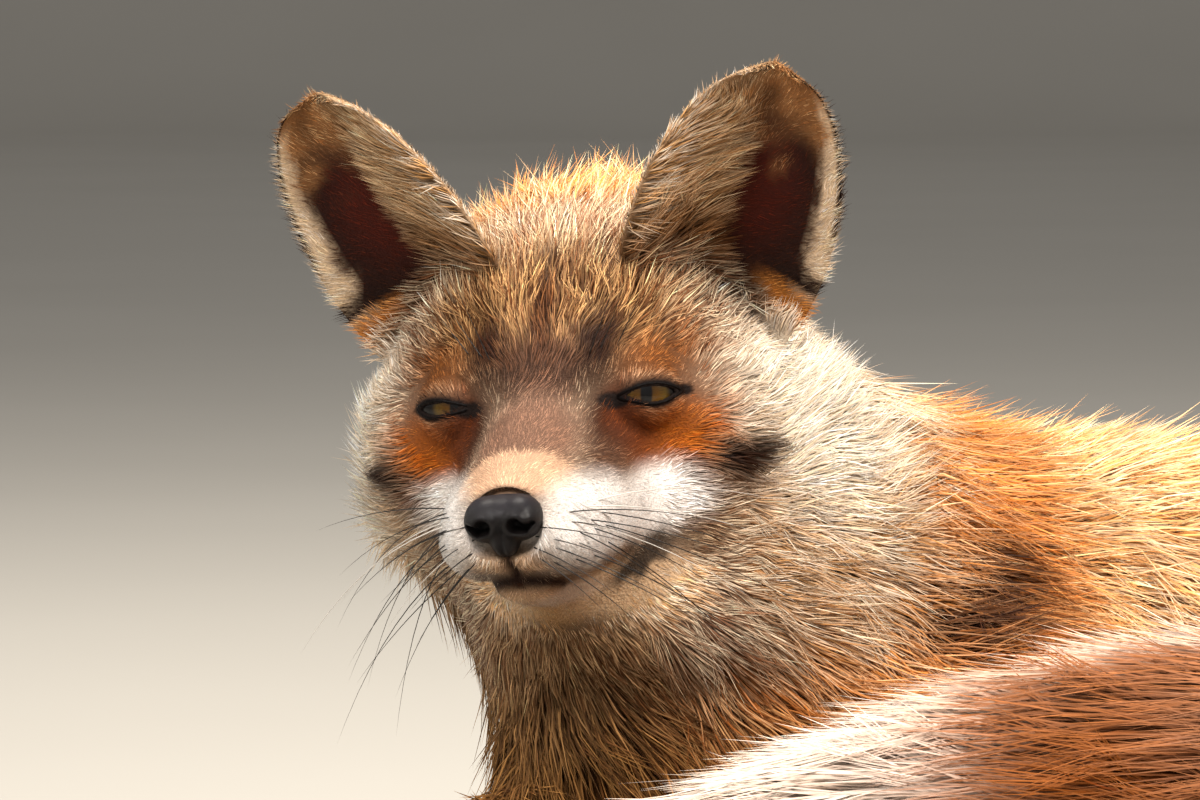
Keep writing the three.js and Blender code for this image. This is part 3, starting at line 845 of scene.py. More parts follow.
def trunk_coat(coat, points):
    spine = lines["spine"]
    which = spine.nearest(points)
    depth, along = spine.depth[which], spine.along[which]
    on_tail = rise(0.52, 0.6, along)
    by_head = rise(0.33, 0.18, along)
    pressed = pressed_flat(points)
    length = (1.9 - 0.1 * by_head - 0.3 * on_tail) * depth * (1 - 0.5 * pressed)
    lean = np.radians(40 + 4 * by_head - 14 * on_tail)
    width = 0.72 - 0.24 * by_head - 0.17 * on_tail
    crowd = (0.13 + 0.29 * by_head + 0.13 * on_tail) * (1 + rise(12, 4, depth)) * (1 - 0.8 * pressed)
    fall = 0.9 * rise(0.15, 0.21, along) * rise(0.6, 0.5, along)  # the coat hangs down the flanks
    lie = spine.tangent[which] - np.outer(fall, [0, 0, 1])
    coat.add("spine", body_markings(points), lie, length, lean, width, crowd, on_tail)


def leg_coats(coat, points):
    pressed = pressed_flat(points)
    for name in LEGS:
        line = lines[name]
        which = line.nearest(points)
        depth = line.depth[which]
        length = 1.9 * depth + 0.8
        lean = np.radians(14 + 18 * rise(4, 10, depth))
        width = 0.36 + 0.045 * depth
        crowd = between(0.5, 0.14, rise(3, 10, depth)) * (1 - 0.6 * pressed)
        marks = leg_markings(points, name, line.along[which])
        coat.add(name, marks, line.tangent[which], length, lean, width, crowd)


def coat_at(points, shares):
    h = in_head(points)
    coat = Coat(shares)
    head_coat(coat, h)
    ear_coat(coat, h)
    trunk_coat(coat, points)
    leg_coats(coat, points)

    along, above, ahead = on_eye(h)
    tear = np.hypot((along + 9.6) / 2.9, (above + 1.1) / 1.4) < 1
    eye = (outside_slit(h) < BARE_BY_SLIT) | tear
    eye &= (ahead > 0) & (np.hypot(along, above) < 14)
    nose = near(h, (0, -59.5, -20), (10.5, 9, 9.5), 0.05) > 0.5
    on_head = shares.argmax(1) == REGIONS.index("head")
    coat.crowd[(eye | nose) & on_head] = 0
    return coat


# ---------- Finishes ----------
class Wire:
    """An output of a shader node. Sums, differences and products of wires add their nodes."""

    def __init__(self, finish, socket):
        self.finish = finish
        self.socket = socket

    def maths(self, operation, *values):
        return self.finish.node("Math", {"operation": operation}, dict(enumerate(values)))

    def root(self):
        return self.maths("SQRT", self)

    def __add__(self, other):
        return self.maths("ADD", self, other)

    def __sub__(self, other):
        return self.maths("SUBTRACT", self, other)

    def __rsub__(self, other):
        return self.maths("SUBTRACT", other, self)

    def __mul__(self, other):
        return self.maths("MULTIPLY", self, other)

    def __truediv__(self, other):
        return self.maths("DIVIDE", self, other)

    __radd__ = __add__
    __rmul__ = __mul__


class Finish:
    """A material. Its constants are set on the shader, and wires are fed to it afterwards."""

    def __init__(self, name, **constants):
        self.material = bpy.data.materials.new(name)
        self.material.use_nodes = True
        self.tree = self.material.node_tree
        self.shader = self.tree.nodes["Principled BSDF"]
        self.feed(**constants)

    def plug(self, socket, value):
        if isinstance(value, Wire):
            self.tree.links.new(value.socket, socket)
        elif hasattr(value, "__len__") and len(value) == 3 and socket.type == "RGBA":
            socket.default_value = (*value, 1)
        else:
            socket.default_value = value

    def feed(self, **values):
        for name, value in values.items():
            socket = name.replace("_", " ").title().replace("Ior", "IOR")
            self.plug(self.shader.inputs[socket], value)

    def node(self, kind, settings=None, values=None, output=0):
        node = self.tree.nodes.new("ShaderNode" + kind)
        for name, value in (settings or {}).items():
            if name == "stops":
                ramp = node.color_ramp
                while len(ramp.elements) < len(value):
                    ramp.elements.new(0.5)
                for element, (position, colour) in zip(ramp.elements, value):
                    element.position = position
                    element.color = (*colour, 1)
            else:
                setattr(node, name, value)
        for name, value in (values or {}).items():
            self.plug(node.inputs[name], value)
        return Wire(self, node.outputs[output])

    def places(self, location, rotation, scale):
        """Object coordinates, seen from a place of the pattern's own."""
        where = self.node("TexCoord", output="Object")
        settings = {"vector_type": "TEXTURE"}
        values = {"Vector": where, "Location": location, "Rotation": rotation, "Scale": scale}
        return self.node("Mapping", settings, values)

    def noise(self, size, detail=2.0):
        """Even noise from 0 to 1, with lumps of that size in metres."""
        where = self.node("TexCoord", output="Object")
        return self.node("TexNoise", None, {"Vector": where, "Scale": 1 / size, "Detail": detail})

    def mix(self, share, a, b):
        return self.node("Mix", {"data_type": "RGBA"}, {0: share, 6: a, 7: b}, 2)

    def shade(self, colour, amount):
        """The colour made lighter or darker by an amount that is 1 for no change."""
        return self.node("VectorMath", {"operation": "SCALE"}, {0: colour, "Scale": amount})

    def painted(self):
        return self.node("Attribute", {"attribute_name": "coat"}, None, "Color")

    def bump(self, height, depth):
        self.feed(normal=self.node("Bump", None, {"Height": height, "Distance": depth}))


def hair_finish(name, roughness, gloss):
    finish = Finish(name, roughness=roughness, specular_ior_level=gloss)
    uneven = finish.noise(0.009) * 0.35 + finish.noise(0.0022) * 0.25 + 0.7
    finish.feed(base_color=finish.shade(finish.painted(), uneven))
    return finish.material


def skin_finish():
    finish = Finish("underfur", roughness=0.85, specular_ior_level=0.2)
    strands = finish.noise(0.0007, 3)
    finish.feed(base_color=finish.shade(finish.painted(), strands * 0.8 + 0.6))
    finish.bump(strands, 0.0006)
    return finish.material


def lid_finish():
    finish = Finish("lid_skin", specular_ior_level=0.08)
    grain = finish.noise(0.0008)
    dark, worn = tint(0x040202), tint(0x100907)
    finish.feed(base_color=finish.mix(grain * 0.7, dark, worn), roughness=grain * 0.3 + 0.4)
    finish.bump(grain, 0.0002)
    return finish.material


def nose_finish():
    finish = Finish("nose_leather", specular_ior_level=0.2, coat_weight=0.16, coat_roughness=0.34)
    pebbles = finish.node("TexVoronoi", None, {"Scale": 1500.0}, "Distance")
    grain = finish.noise(0.0035)
    finish.feed(base_color=finish.shade(finish.painted(), grain * 0.9 + 0.6))
    finish.feed(roughness=grain * 0.2 + 0.38)
    finish.bump(pebbles * pebbles, 0.0006)
    return finish.material


def claw_finish():
    finish = Finish("claw_horn", roughness=0.35)
    streaks = finish.noise(0.0012, 3)
    finish.feed(base_color=finish.mix(streaks, tint(0x1B1511), tint(0x57483A)))
    finish.bump(streaks, 0.0001)
    return finish.material


GAZE = np.array([0.24, -0.955, 0.17])  # both eyes look the same way, in the head's frame
IRIS = 7.4
PUPIL = (1.5, 4.2)  # half its width and height
IRIS_STOPS = [  # from its middle to its edge
    (0.0, tint(0x241605)),
    (0.4, tint(0x4C3006)),
    (0.7, tint(0x4C380C)),
    (0.88, tint(0x120B05)),
    (1.0, tint(0x080504)),
]


def eye_finish(centre):
    """Amber iris with a dark edge and an upright pupil, seen from the eye's middle."""
    turn = Vector(GAZE @ HEAD_AXES).to_track_quat("Z", "Y").to_euler()
    finish = Finish(
        "eye_amber", roughness=0.3, specular_ior_level=0.1, coat_weight=0.4, coat_roughness=0.04
    )
    where = finish.places(tuple(centre / 1000), tuple(turn), (0.001,) * 3)
    x = finish.node("SeparateXYZ", None, {0: where})
    y = Wire(finish, x.socket.node.outputs[1])
    out = (x * x + y * y).root()
    angle = y.maths("ARCTAN2", y, x)
    spokes = finish.node("CombineXYZ", None, {0: angle * 9, 1: out * 0.5})
    fibres = finish.node("TexNoise", None, {"Vector": spokes, "Scale": 1.6, "Detail": 3.0})
    place = out / IRIS + (fibres - 0.5) * 0.12
    ring = finish.node("ValToRGB", {"stops": IRIS_STOPS}, {0: place})
    streaked = finish.shade(ring, fibres * 1.3 + 0.3)
    # painted shadow of the upper lid: the iris darkens towards its top
    lid_shadow = {"From Min": -1.0, "From Max": 2.0, "To Min": 1.0, "To Max": 0.35}
    shaded = finish.shade(streaked, finish.node("MapRange", None, {"Value": y, **lid_shadow}))
    px, py = x / PUPIL[0], y / PUPIL[1]
    pupil = {"Value": (px * px + py * py).root(), "From Min": 0.85, "From Max": 1.25}
    black = finish.node("MapRange", {"interpolation_type": "SMOOTHSTEP"}, pupil)
    finish.feed(base_color=finish.mix(black, tint(0x050404), shaded))
    return finish.material


# ---------- Pieces ----------
def finished(name, mesh, material, replaces=()):
    piece = add_object(name, mesh)
    smooth(mesh)
    mesh.materials.clear()
    mesh.materials.append(material)
    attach(piece, "root")
    if replaces:
        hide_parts(*replaces)
    return piece


def tube_mesh(name, centres, radii, sideways, colours=None, uvs=None):
    """Tapered tubes, each closed at its root and run to a point at its tip.

    centres is tubes by rings by 3, the last of them the tips, and radii is tubes by rings less
    one. sideways holds the directions from a tube's middle to its sides, tubes by sides by 3.
    Colours go by centre, and uvs by point."""
    tubes, rings = centres.shape[0], centres.shape[1] - 1
    sides = sideways.shape[1]
    ring_points = centres[:, :-1, None] + radii[:, :, None, None] * sideways[:, None]
    per = rings * sides + 1
    points = np.concatenate([ring_points.reshape(tubes, -1, 3), centres[:, -1:]], 1)
    faces = []
    for ring in range(rings - 1):
        for side in range(sides):
            a, b = ring * sides + side, ring * sides + (side + 1) % sides
            faces += [(a, b, b + sides), (a, b + sides, a + sides)]
    last = (rings - 1) * sides
    faces += [(last + side, last + (side + 1) % sides, per - 1) for side in range(sides)]
    faces += [(0, side + 1, side) for side in range(1, sides - 1)]
    faces = (np.arange(tubes)[:, None, None] * per + np.array(faces)).reshape(-1, 3)

    mesh = bpy.data.meshes.new(name)
    mesh.vertices.add(tubes * per)
    mesh.vertices.foreach_set("co", (points / 1000).astype(np.float32).ravel())
    mesh.loops.add(faces.size)
    mesh.loops.foreach_set("vertex_index", faces.astype(np.int32).ravel())
    mesh.polygons.add(len(faces))
    mesh.polygons.foreach_set("loop_start", np.arange(0, faces.size, 3, dtype=np.int32))
    mesh.polygons.foreach_set("loop_total", np.full(len(faces), 3, np.int32))
    mesh.update(calc_edges=True)
    if colours is not None:
        spans = np.concatenate([np.repeat(colours[:, :-1], sides, 1), colours[:, -1:]], 1)
        paint(mesh, "coat", spans.reshape(-1, 3))
    if uvs is not None:
        layer = mesh.uv_layers.new(name="OFBake")
        layer.data.foreach_set("uv", uvs.reshape(-1, 2)[faces.ravel()].astype(np.float32).ravel())
    return mesh


def around(lie, out, sides, spin):
    """Directions from a tube's middle to its sides, tubes by sides by 3."""
    across = unit(np.cross(out, lie))
    over = unit(np.cross(lie, across))
    angles = spin[:, None] + np.arange(sides) * 2 * math.pi / sides
    return np.cos(angles)[..., None] * across[:, None] + np.sin(angles)[..., None] * over[:, None]


# ---------- Eyes, lids, nose ----------
def eye_mesh(centre):
    bm = bmesh.new()
    bmesh.ops.create_uvsphere(bm, u_segments=64, v_segments=40, radius=EYE_RADIUS / 1000)
    ahead = Vector(GAZE @ HEAD_AXES)
    bmesh.ops.rotate(bm, verts=bm.verts, matrix=ahead.to_track_quat("Z", "Y").to_matrix())
    for vert in bm.verts:  # the clear front bulges
        facing = vert.co.normalized().dot(ahead)
        vert.co *= 1 + 0.05 * float(rise(0.72, 0.98, facing))
    bmesh.ops.translate(bm, verts=bm.verts, vec=Vector(centre / 1000))
    return ball_mesh(bm, "eyeball")


def lid_mesh(side):
    """A band round the slit, from the ball's surface out to under the skin."""
    bm = bmesh.new()
    bmesh.ops.create_grid(bm, x_segments=96, y_segments=8, size=1)
    grid = verts_of(bm)
    turn = grid[:, 0] * math.pi
    out = (grid[:, 1] + 1) / 2
    along = SLIT_MIDDLE[side] + SLIT_HALF[side] * np.cos(turn)
    upper, lower = lid_edges(side, along)
    above = np.where(np.sin(turn) >= 0, upper, lower)
    inner_corner = rise(0.5, 1, -np.cos(turn))
    outer_corner = rise(0.6, 1, np.cos(turn))
    reach = LID_BAND * out
    along = along + reach * np.cos(turn) * (1 + 2.2 * inner_corner + 1.1 * outer_corner)
    above = above + reach * np.sin(turn) - inner_corner * out * 0.9
    away = np.hypot(along, above)
    roll = np.interp(out, [0, 0.15, 0.4, 0.7, 1], [-0.6, 0.55, 1.05, 1.0, 0.3])
    ahead = np.sqrt(np.maximum((EYE_RADIUS + roll) ** 2 - away**2, 9)) - 0.6 * inner_corner * out
    places = EYE_CENTRE + np.outer(along, eye_along) + np.outer(above, eye_above)
    places += np.outer(ahead, eye_forward)
    if side < 0:
        places *= MIRROR
    place_verts(bm, places)
    bmesh.ops.remove_doubles(bm, verts=bm.verts, dist=1e-5)
    bmesh.ops.recalc_face_normals(bm, faces=bm.faces)
    return mesh_from(bm, "lid")


NOSE_EGGS = [
    ((0, -58, -19.2), (9.3, 8.6, 6.3)),
    ((4.8, -59, -19.4), (6.0, 8.0, 6.2)),
    ((-4.8, -59, -19.4), (6.0, 8.0, 6.2)),
    ((0, -60, -24), (4.4, 5.8, 5.8)),
]
NOSE_MIDDLE = np.array([0, -58, -20.5])
NOSE_EDGE = 1.6  # how sharp the creases between its eggs are
NOSE_TRIM = 0.35
NOSTRIL = [((4.4, -20.4), 2.0), ((6.2, -21.4), 1.4), ((8.6, -20.2), 0.6)]  # x and z, half its width


def nose_mesh():
    bm = bmesh.new()
    bmesh.ops.create_uvsphere(bm, u_segments=144, v_segments=96, radius=1)
    ball = unit(verts_of(bm))
    total = 0
    for centre, radii in NOSE_EGGS:
        start = (NOSE_MIDDLE - centre) / radii
        way = ball / radii
        a, b, c = (way**2).sum(1), (way @ start), (start**2).sum() - 1
        total = total + np.exp(NOSE_EDGE * (-b + np.sqrt(np.maximum(b * b - a * c, 0))) / a)
    points = NOSE_MIDDLE + ball * (np.log(total) / NOSE_EDGE - NOSE_TRIM)[:, None]
    x, y, z = np.abs(points[:, 0]), points[:, 1], points[:, 2]
    hole = np.full(len(points), 9.0)
    for (start, wide), (end, narrow) in zip(NOSTRIL, NOSTRIL[1:]):
        span = np.subtract(end, start)
        away = np.stack([x, z], 1) - start
        t = np.clip(away @ span / (span @ span), 0, 1)
        distance = np.linalg.norm(away - t[:, None] * span, axis=1)
        hole = np.minimum(hole, distance - between(wide, narrow, t))
    front = rise(-52, -57, y)
    sunk = rise(0.45, -1.3, hole) * front
    rim = np.exp(-(((hole - 1.0) / 0.8) ** 2)) * front * 0.45
    crease = np.exp(-((x / 0.8) ** 2)) * rise(-18, -23, z) * front * 0.9
    points[:, 1] += 4.6 * sunk - rim + crease
    place_verts(bm, points)
    mesh = ball_mesh(bm, "nose")
    # painted reflection: the top of the nose is paler and bluer, as a sheen; the nostrils are painted
    # near-black as shade in the holes
    top_sheen = rise(-19, -13, z)
    colour = mixed(mixed(tint(0x110807), tint(0x2C2832), top_sheen), tint(0x040303), rise(0.2, 0.9, sunk))
    paint(mesh, "coat", colour)
    return mesh


# ---------- Claws and whiskers ----------
CLAW_RINGS = 7
CLAW_SIDES = 10
CLAW_SHOWS = 9.0
CLAW_RADIUS = 1.9
CLAW_SPREAD = math.radians(24)
CLAW_ROOT = 8  # inside the toe's end
CLAW_SINKS = 4  # of its length
CLAWS = 4
TOE_REACH = {"foreleg_left": 17, "foreleg_right": 16, "hind_leg_left": 17, "hind_leg_right": 16}


def claw_mesh(name):
    """Four claws at the end of a leg, curving down."""
    toes, before = (np.array(LINES[name][i][:3]) for i in (-1, -2))
    heading = math.atan2(toes[1] - before[1], toes[0] - before[0])
    centres, out = [], []
    for i in range(CLAWS):
        angle = heading + CLAW_SPREAD * (i - (CLAWS - 1) / 2)
        ahead = np.array([math.cos(angle), math.sin(angle), 0])
        t = np.linspace(0, 1, CLAW_RINGS)
        reach = TOE_REACH[name] - CLAW_ROOT + (CLAW_SHOWS + CLAW_SINKS) * t
        drop = 6.5 - 3.6 * t**2
        centres.append(np.append(toes[:2], 0) + reach[:, None] * ahead + drop[:, None] * [0, 0, 1])
        out.append(ahead)
    centres = np.array(centres) + BODY_ORIGIN * [1, 1, 0]
    radii = np.tile(CLAW_RADIUS * (1 - np.linspace(0, 1, CLAW_RINGS)[:-1] ** 1.7), (CLAWS, 1))
    over = np.tile([0.0, 0, 1], (CLAWS, 1))
    ring = around(np.array(out), over, CLAW_SIDES, np.zeros(CLAWS))
    return tube_mesh("claws", centres, radii, ring)


WHISKERS = 20  # on each side
WHISKER_RINGS = 10
WHISKER_SIDES = 5
BROW_WHISKERS = 3  # over each eye
WHISKER_LENGTHS = (26, 38, 52, 64, 70)  # of a row, from the nose back


def whisker_mesh(rng):
    """Rows of whiskers on the muzzle and a few over each eye."""
    roots, ways, lengths, sags = [], [], [], []
    for side in (-1, 1):
        for i in range(WHISKERS):
            row, place = divmod(i, len(WHISKER_LENGTHS))
            root = np.array([8.5 + 2.3 * place, -60 + 5.2 * place, -21.5 - 3 * row])
            way = np.array([1, 0.15 + 0.16 * place, -0.05 - 0.24 * row])
            length = WHISKER_LENGTHS[place] * rng.uniform(0.8, 1.1)
            roots.append(root * (side, 1, 1))
            ways.append((way + rng.normal(size=3) * 0.09) * (side, 1, 1))
            lengths.append(length)
            sags.append(rng.uniform(0.15, 0.45))
        for i in range(BROW_WHISKERS):
            roots.append(np.array([(14 + 3 * i) * side, -4 + 3 * i, 14]))
            ways.append(np.array([(0.35 + 0.2 * i) * side, 0.15, 1]) + rng.normal(size=3) * 0.1)
            lengths.append(rng.uniform(14, 22))
            sags.append(-0.1)
    roots, ways, lengths = np.array(roots), unit(np.array(ways)), np.array(lengths)
    face = in_head(skin_points)[face_area]
    roots = np.array([face[((face - root) ** 2).sum(1).argmin()] for root in roots])
    t = np.linspace(0, 1, WHISKER_RINGS)
    centres = roots[:, None] + (lengths[:, None] * (t - 0.04))[..., None] * ways[:, None]
    curl = np.array(sags)[:, None] * lengths[:, None] * t**2
    centres = centres + curl[..., None] * np.array([0, 0.5, -1])
    centres = from_head(centres)
    radii = np.tile(0.17 * (1 - t[:-1] ** 1.3) + 0.02, (len(roots), 1))
    over = np.tile([0.0, 0.1, 1], (len(roots), 1))
    ring = around(ways @ HEAD_AXES, over, WHISKER_SIDES, np.zeros(len(roots)))
    colours = np.tile(tint(0x14100E), (len(roots), WHISKER_RINGS, 1))
    pale = (rng.random(len(roots)) < 0.3) & (roots[:, 2] < -10) & (roots[:, 2] > -25)
    colours[pale] = tint(0xD8D0C6)
    return tube_mesh("whiskers", centres, radii, ring, colours)


# ---------- Coat ----------
PATCH = 0.003  # across each lock's place on the unwrap
PIECE_LIMIT = 195000  # triangles
ROOT_SINKS = 0.3  # into the skin
ABOVE_FLOOR = 0.4
SHEETS = {  # of the unwrap: left, bottom, width, height
    "head": (0.0, 0.5, 0.5, 0.5),
    "ear": (0.5, 0.75, 0.5, 0.25),
    "spine": (0.0, 0.0, 1.0, 0.36),
    "foreleg_left": (0.5, 0.56, 0.25, 0.18),
    "foreleg_right": (0.75, 0.56, 0.25, 0.18),
    "hind_leg_left": (0.5, 0.37, 0.25, 0.18),
    "hind_leg_right": (0.75, 0.37, 0.25, 0.18),
}


def unwrapped(points, owned):
    """The skin laid out flat: the head opened round the nose, each ear's two faces side by side,
    and the trunk, tail and legs slit along their undersides."""
    uv = np.zeros((len(points), 2))
    h = in_head(points)
    from_middle = unit(h - [0, 22, -6])
    turn = np.arccos(np.clip(-from_middle[:, 1], -1, 1)) / math.pi
    ring = unit(from_middle[:, [0, 2]]) * turn[:, None] ** 0.75
    uv[:] = 0.5 + 0.49 * ring
    height, place, front = on_ear(h)
    ear = owned == EAR
    sheet = (h[:, 0] > 0) * 2 + (front > 0)
    uv[ear, 0] = (sheet[ear] + 0.5 + 0.42 * np.clip(place[ear], -1.1, 1.1)) / 4
    uv[ear, 1] = np.clip(0.1 + 0.8 * height[ear], 0.02, 0.98)
    for name, line in lines.items():
        mine = owned == REGIONS.index(name)
        which = line.nearest(points[mine])
        away = points[mine] - line.points[which]
        sideways = unit(np.cross(line.tangent[which], [0, 0, 1.0]))
        turn = np.arctan2((away * sideways).sum(1), away[:, 2]) / (2 * math.pi) + 0.5
        uv[mine] = np.stack([0.02 + 0.96 * line.along[which], 0.02 + 0.96 * turn], 1)
    cells = np.array([SHEETS[name] for name in REGIONS])[owned]
    return cells[:, :2] + uv * cells[:, 2:]


def gathered(points, size, seed, waves=9):
    """Which way the locks at these points lean together into larger ones."""
    rng = np.random.default_rng(seed)
    pitch = unit(rng.normal(size=(waves, 3))) * rng.uniform(0.7, 1.5, (waves, 1)) * 2 * math.pi
    slope = np.cos(points / size @ pitch.T + rng.uniform(0, 2 * math.pi, waves)) @ pitch
    return slope / (2 * math.pi * math.sqrt(waves))


def rooted(rng, corners, crowd_each):
    """Random roots over the skin's triangles, as many as their crowding asks for."""
    a, b, c = (skin_points[corners[:, i]] for i in range(3))
    area = np.linalg.norm(np.cross(b - a, c - a), axis=1) / 2
    wanted = area * crowd_each
    total = np.cumsum(wanted)
    count = int(total[-1])
    marks = (np.arange(count) + rng.random(count)) * total[-1] / count
    which = np.searchsorted(total, marks).clip(0, len(corners) - 1)
    u, v = rng.random((2, count))
    flip = u + v > 1
    u[flip], v[flip] = 1 - u[flip], 1 - v[flip]
    return which, np.stack([1 - u - v, u, v], 1)


ROOM = 7  # mm that a lock needs over its root


def uncovered():
    """1 where a point of the skin has room over it, and 0 where it is pressed on another limb."""
    tree = BVHTree.FromPolygons(skin_points.tolist(), triangles_of(skin_mesh).tolist())
    free = np.ones(len(skin_points))
    lifted = skin_points + 0.3 * skin_outward
    for i, (point, way) in enumerate(zip(lifted.tolist(), skin_outward.tolist())):
        if not face_area[i] and tree.ray_cast(Vector(point), Vector(way), ROOM)[0] is not None:
            free[i] = 0
    return free


SHORT = 5.2  # mm, below which a lock has one ring, and above it two
SHORT_ON_LEG = 7.0
LOCK_SIDES = 3
LOCK_ACROSS = 1.7  # times its radius, as it has three sides
RING_PLACES = {1: [0, 1], 2: [0, 0.42, 1]}  # along the lock, its tip included
RING_WIDTHS = {1: [1], 2: [0.8, 1]}
RING_TIP_SHARES = {1: [0.25, 1], 2: [0.0, 0.3, 1]}
# painted shade: each ring's colour darkened towards the root, where the locks shade each other, and
# lightened a little at the tip
RING_ROOT_SHADE = {1: [0.8, 1.05], 2: [0.35, 0.95, 1.05]}
GUARD_SHARE = 0.05  # of the locks, that stand out as long single hairs
GUARD_LENGTH = 1.15
GUARD_WIDTH = 0.6


class Locks:
    """All the locks of the coat, from their roots on the skin to their tips."""

    def __init__(self, rng):
        corners = triangles_of(skin_mesh)
        crowd = skin_look.crowd * uncovered()
        which, weights = rooted(rng, corners, crowd[corners].mean(1))

        def blended(values):
            return (values[corners[which]] * weights[..., None]).sum(1)

        self.roots = blended(skin_points)
        self.out = unit(blended(skin_outward))
        shares = blended(skin_shares)
        self.owned = shares.argmax(1)
        self.look = coat_at(self.roots, shares)
        self.wild = 1 - 0.6 * self.look.calm
        self.calm = self.look.calm.clip(0)
        self.comb(rng)
        self.colour(rng)
        self.unwrap = unwrapped(self.roots, self.owned)

    def comb(self, rng):
        """The way in which each lock starts and ends, its length and its width."""
        roots, out, wild, size = self.roots, self.out, self.wild, self.look.length
        count = len(roots)
        loose = np.minimum(wild, 1)
        lie = self.look.lie
        lie = unit(lie - out * (lie * out).sum(1)[:, None])
        across = np.cross(out, lie)
        stray = rng.normal(size=count) * 0.08 * wild + 0.26 * loose**1.5 * ripple(roots, 34, 5)
        stray += between(0.24, 0.1, rise(8, 20, size)) * loose * ripple(roots, 9, 6)
        lie = np.cos(stray)[:, None] * lie + np.sin(stray)[:, None] * across
        length = size * rng.uniform(0.75, 1.15, count)
        lean = self.look.lean * rng.uniform(0.7, 1.3, count)
        guard = rng.random(count) < GUARD_SHARE * wild
        self.length = np.where(guard, length * GUARD_LENGTH, length)
        lean = np.where(guard, lean + 0.1, lean)
        self.width = self.look.width * rng.uniform(0.75, 1.2, count) * np.where(guard, GUARD_WIDTH, 1)
        droop = lean * rng.uniform(0.4, 1.1, count)
        across = np.cross(out, lie)
        self.start = np.cos(lean)[:, None] * lie + np.sin(lean)[:, None] * out
        self.end = np.cos(lean - droop)[:, None] * lie + np.sin(lean - droop)[:, None] * out
        swerve = 0.12 * wild * rng.normal(size=count) + 0.2 * loose * ripple(roots, 14, 17)
        self.end += across * swerve[:, None]
        pull = gathered(roots, 8, 8) * (rise(3, 12, size) * rise(32, 14, size))[:, None] * 0.4
        pull += gathered(roots, 15, 12) * rise(12, 26, size)[:, None] * 0.28
        pull += gathered(roots, 19, 10) * self.calm[:, None] * 0.2
        self.pull = pull - out * (pull * out).sum(1)[:, None]

    def colour(self, rng):
        """Some locks are the tips' colour from low down, and most are not."""
        roots, look = self.roots, self.look
        count = len(roots)
        shade = np.exp(0.27 * self.wild * rng.normal(size=count))[:, None]
        shade = shade * (1 + 0.14 * ripple(roots, 11, 9))[:, None]
        pale = 0.45 + self.wild * (rng.beta(0.45, 0.7, count) - 0.45) + 0.22 * ripple(roots, 4, 18)
        pale = np.clip(pale, 0, 1)
        self.low = mixed(look.low, look.tip, 0.5 * pale) * shade
        self.tip = mixed(look.low, look.tip, 0.16 + 0.84 * pale) * shade

    def mesh(self, name, part, rings, rng):
        """Some of the locks as one mesh, each a tube of one or two rings."""
        out, start, length = self.out[part][:, None], self.start[part], self.length[part]
        t = np.array(RING_PLACES[rings])[None, :, None]
        way = start[:, None] * t + (self.end[part] - start)[:, None] * t**2 / 2
        centres = self.roots[part][:, None] - ROOT_SINKS * out
        centres = centres + way * length[:, None, None]
        centres = centres + self.pull[part][:, None] * length[:, None, None] * t**1.5
        centres[..., 2] = np.maximum(centres[..., 2], ABOVE_FLOOR)
        radii = self.width[part][:, None] * np.array(RING_WIDTHS[rings])[None] / LOCK_ACROSS
        spin = rng.uniform(0, 2 * math.pi, len(part))
        ring = around(start, self.out[part], LOCK_SIDES, spin)
        fade = np.array(RING_TIP_SHARES[rings])[None, :, None]
        colours = self.low[part][:, None] * (1 - fade) + self.tip[part][:, None] * fade
        # painted shade towards the roots
        colours = colours * np.array(RING_ROOT_SHADE[rings])[None, :, None]
        u = np.append(np.tile(np.arange(LOCK_SIDES) / (LOCK_SIDES - 1) - 0.5, rings), 0)
        v = np.append(np.repeat(np.array(RING_PLACES[rings])[:-1], LOCK_SIDES), 1) - 0.5
        uvs = self.unwrap[part][:, None] + PATCH * np.stack([u, v], 1)
        mesh = tube_mesh(name, centres, radii, ring, colours, uvs)
        smooth(mesh)

        smoothed = 0.55 + 0.25 * self.calm[part, None, None]  # how far it is lit as the skin under it
        own = np.concatenate([np.tile(ring, (1, rings, 1)), start[:, None]], 1)
        normals = unit(out * smoothed + (1 - smoothed) * own)
        mesh.normals_split_custom_set_from_vertices(normals.reshape(-1, 3))
        return mesh


def grow_coat(fur):
    rng = np.random.default_rng(SEED)
    locks = Locks(rng)
    print("locks", dict(zip(REGIONS, np.bincount(locks.owned, minlength=len(REGIONS)))))
    on_leg = locks.owned > SPINE
    kinds = np.where(locks.look.length < np.where(on_leg, SHORT_ON_LEG, SHORT), 1, 2)
    made = 0
    for region_number, region in enumerate(REGIONS):
        for rings in (1, 2):
            chosen = np.flatnonzero((locks.owned == region_number) & (kinds == rings))
            if not len(chosen):
                continue
            chosen = chosen[np.argsort(locks.roots[chosen, 0])]
            per_lock = 2 * LOCK_SIDES * (rings - 1) + LOCK_SIDES + 1
            pieces = math.ceil(len(chosen) * per_lock / PIECE_LIMIT)
            for number, part in enumerate(np.array_split(chosen, pieces)):
                name = f"coat_{region}_{('short', 'long')[rings - 1]}_{number + 1}"
                mesh = locks.mesh(name, part, rings, rng)
                made += len(mesh.polygons)
                finished(name, mesh, fur)
    print("coat triangles", made)


# ---------- Making everything ----------
skin_outward = normals_of(skin_mesh)
skin_look = coat_at(skin_points, skin_shares)
under_coat = mixed(skin_look.low, skin_look.tip, 0.25)
paint(skin_mesh, "coat", under_coat * (0.42 + 0.4 * under_coat.mean(1, keepdims=True)))
finished("skin", skin_mesh, skin_finish(), flesh)
print("skin", len(skin_points), "points", len(triangles_of(skin_mesh)), "triangles")

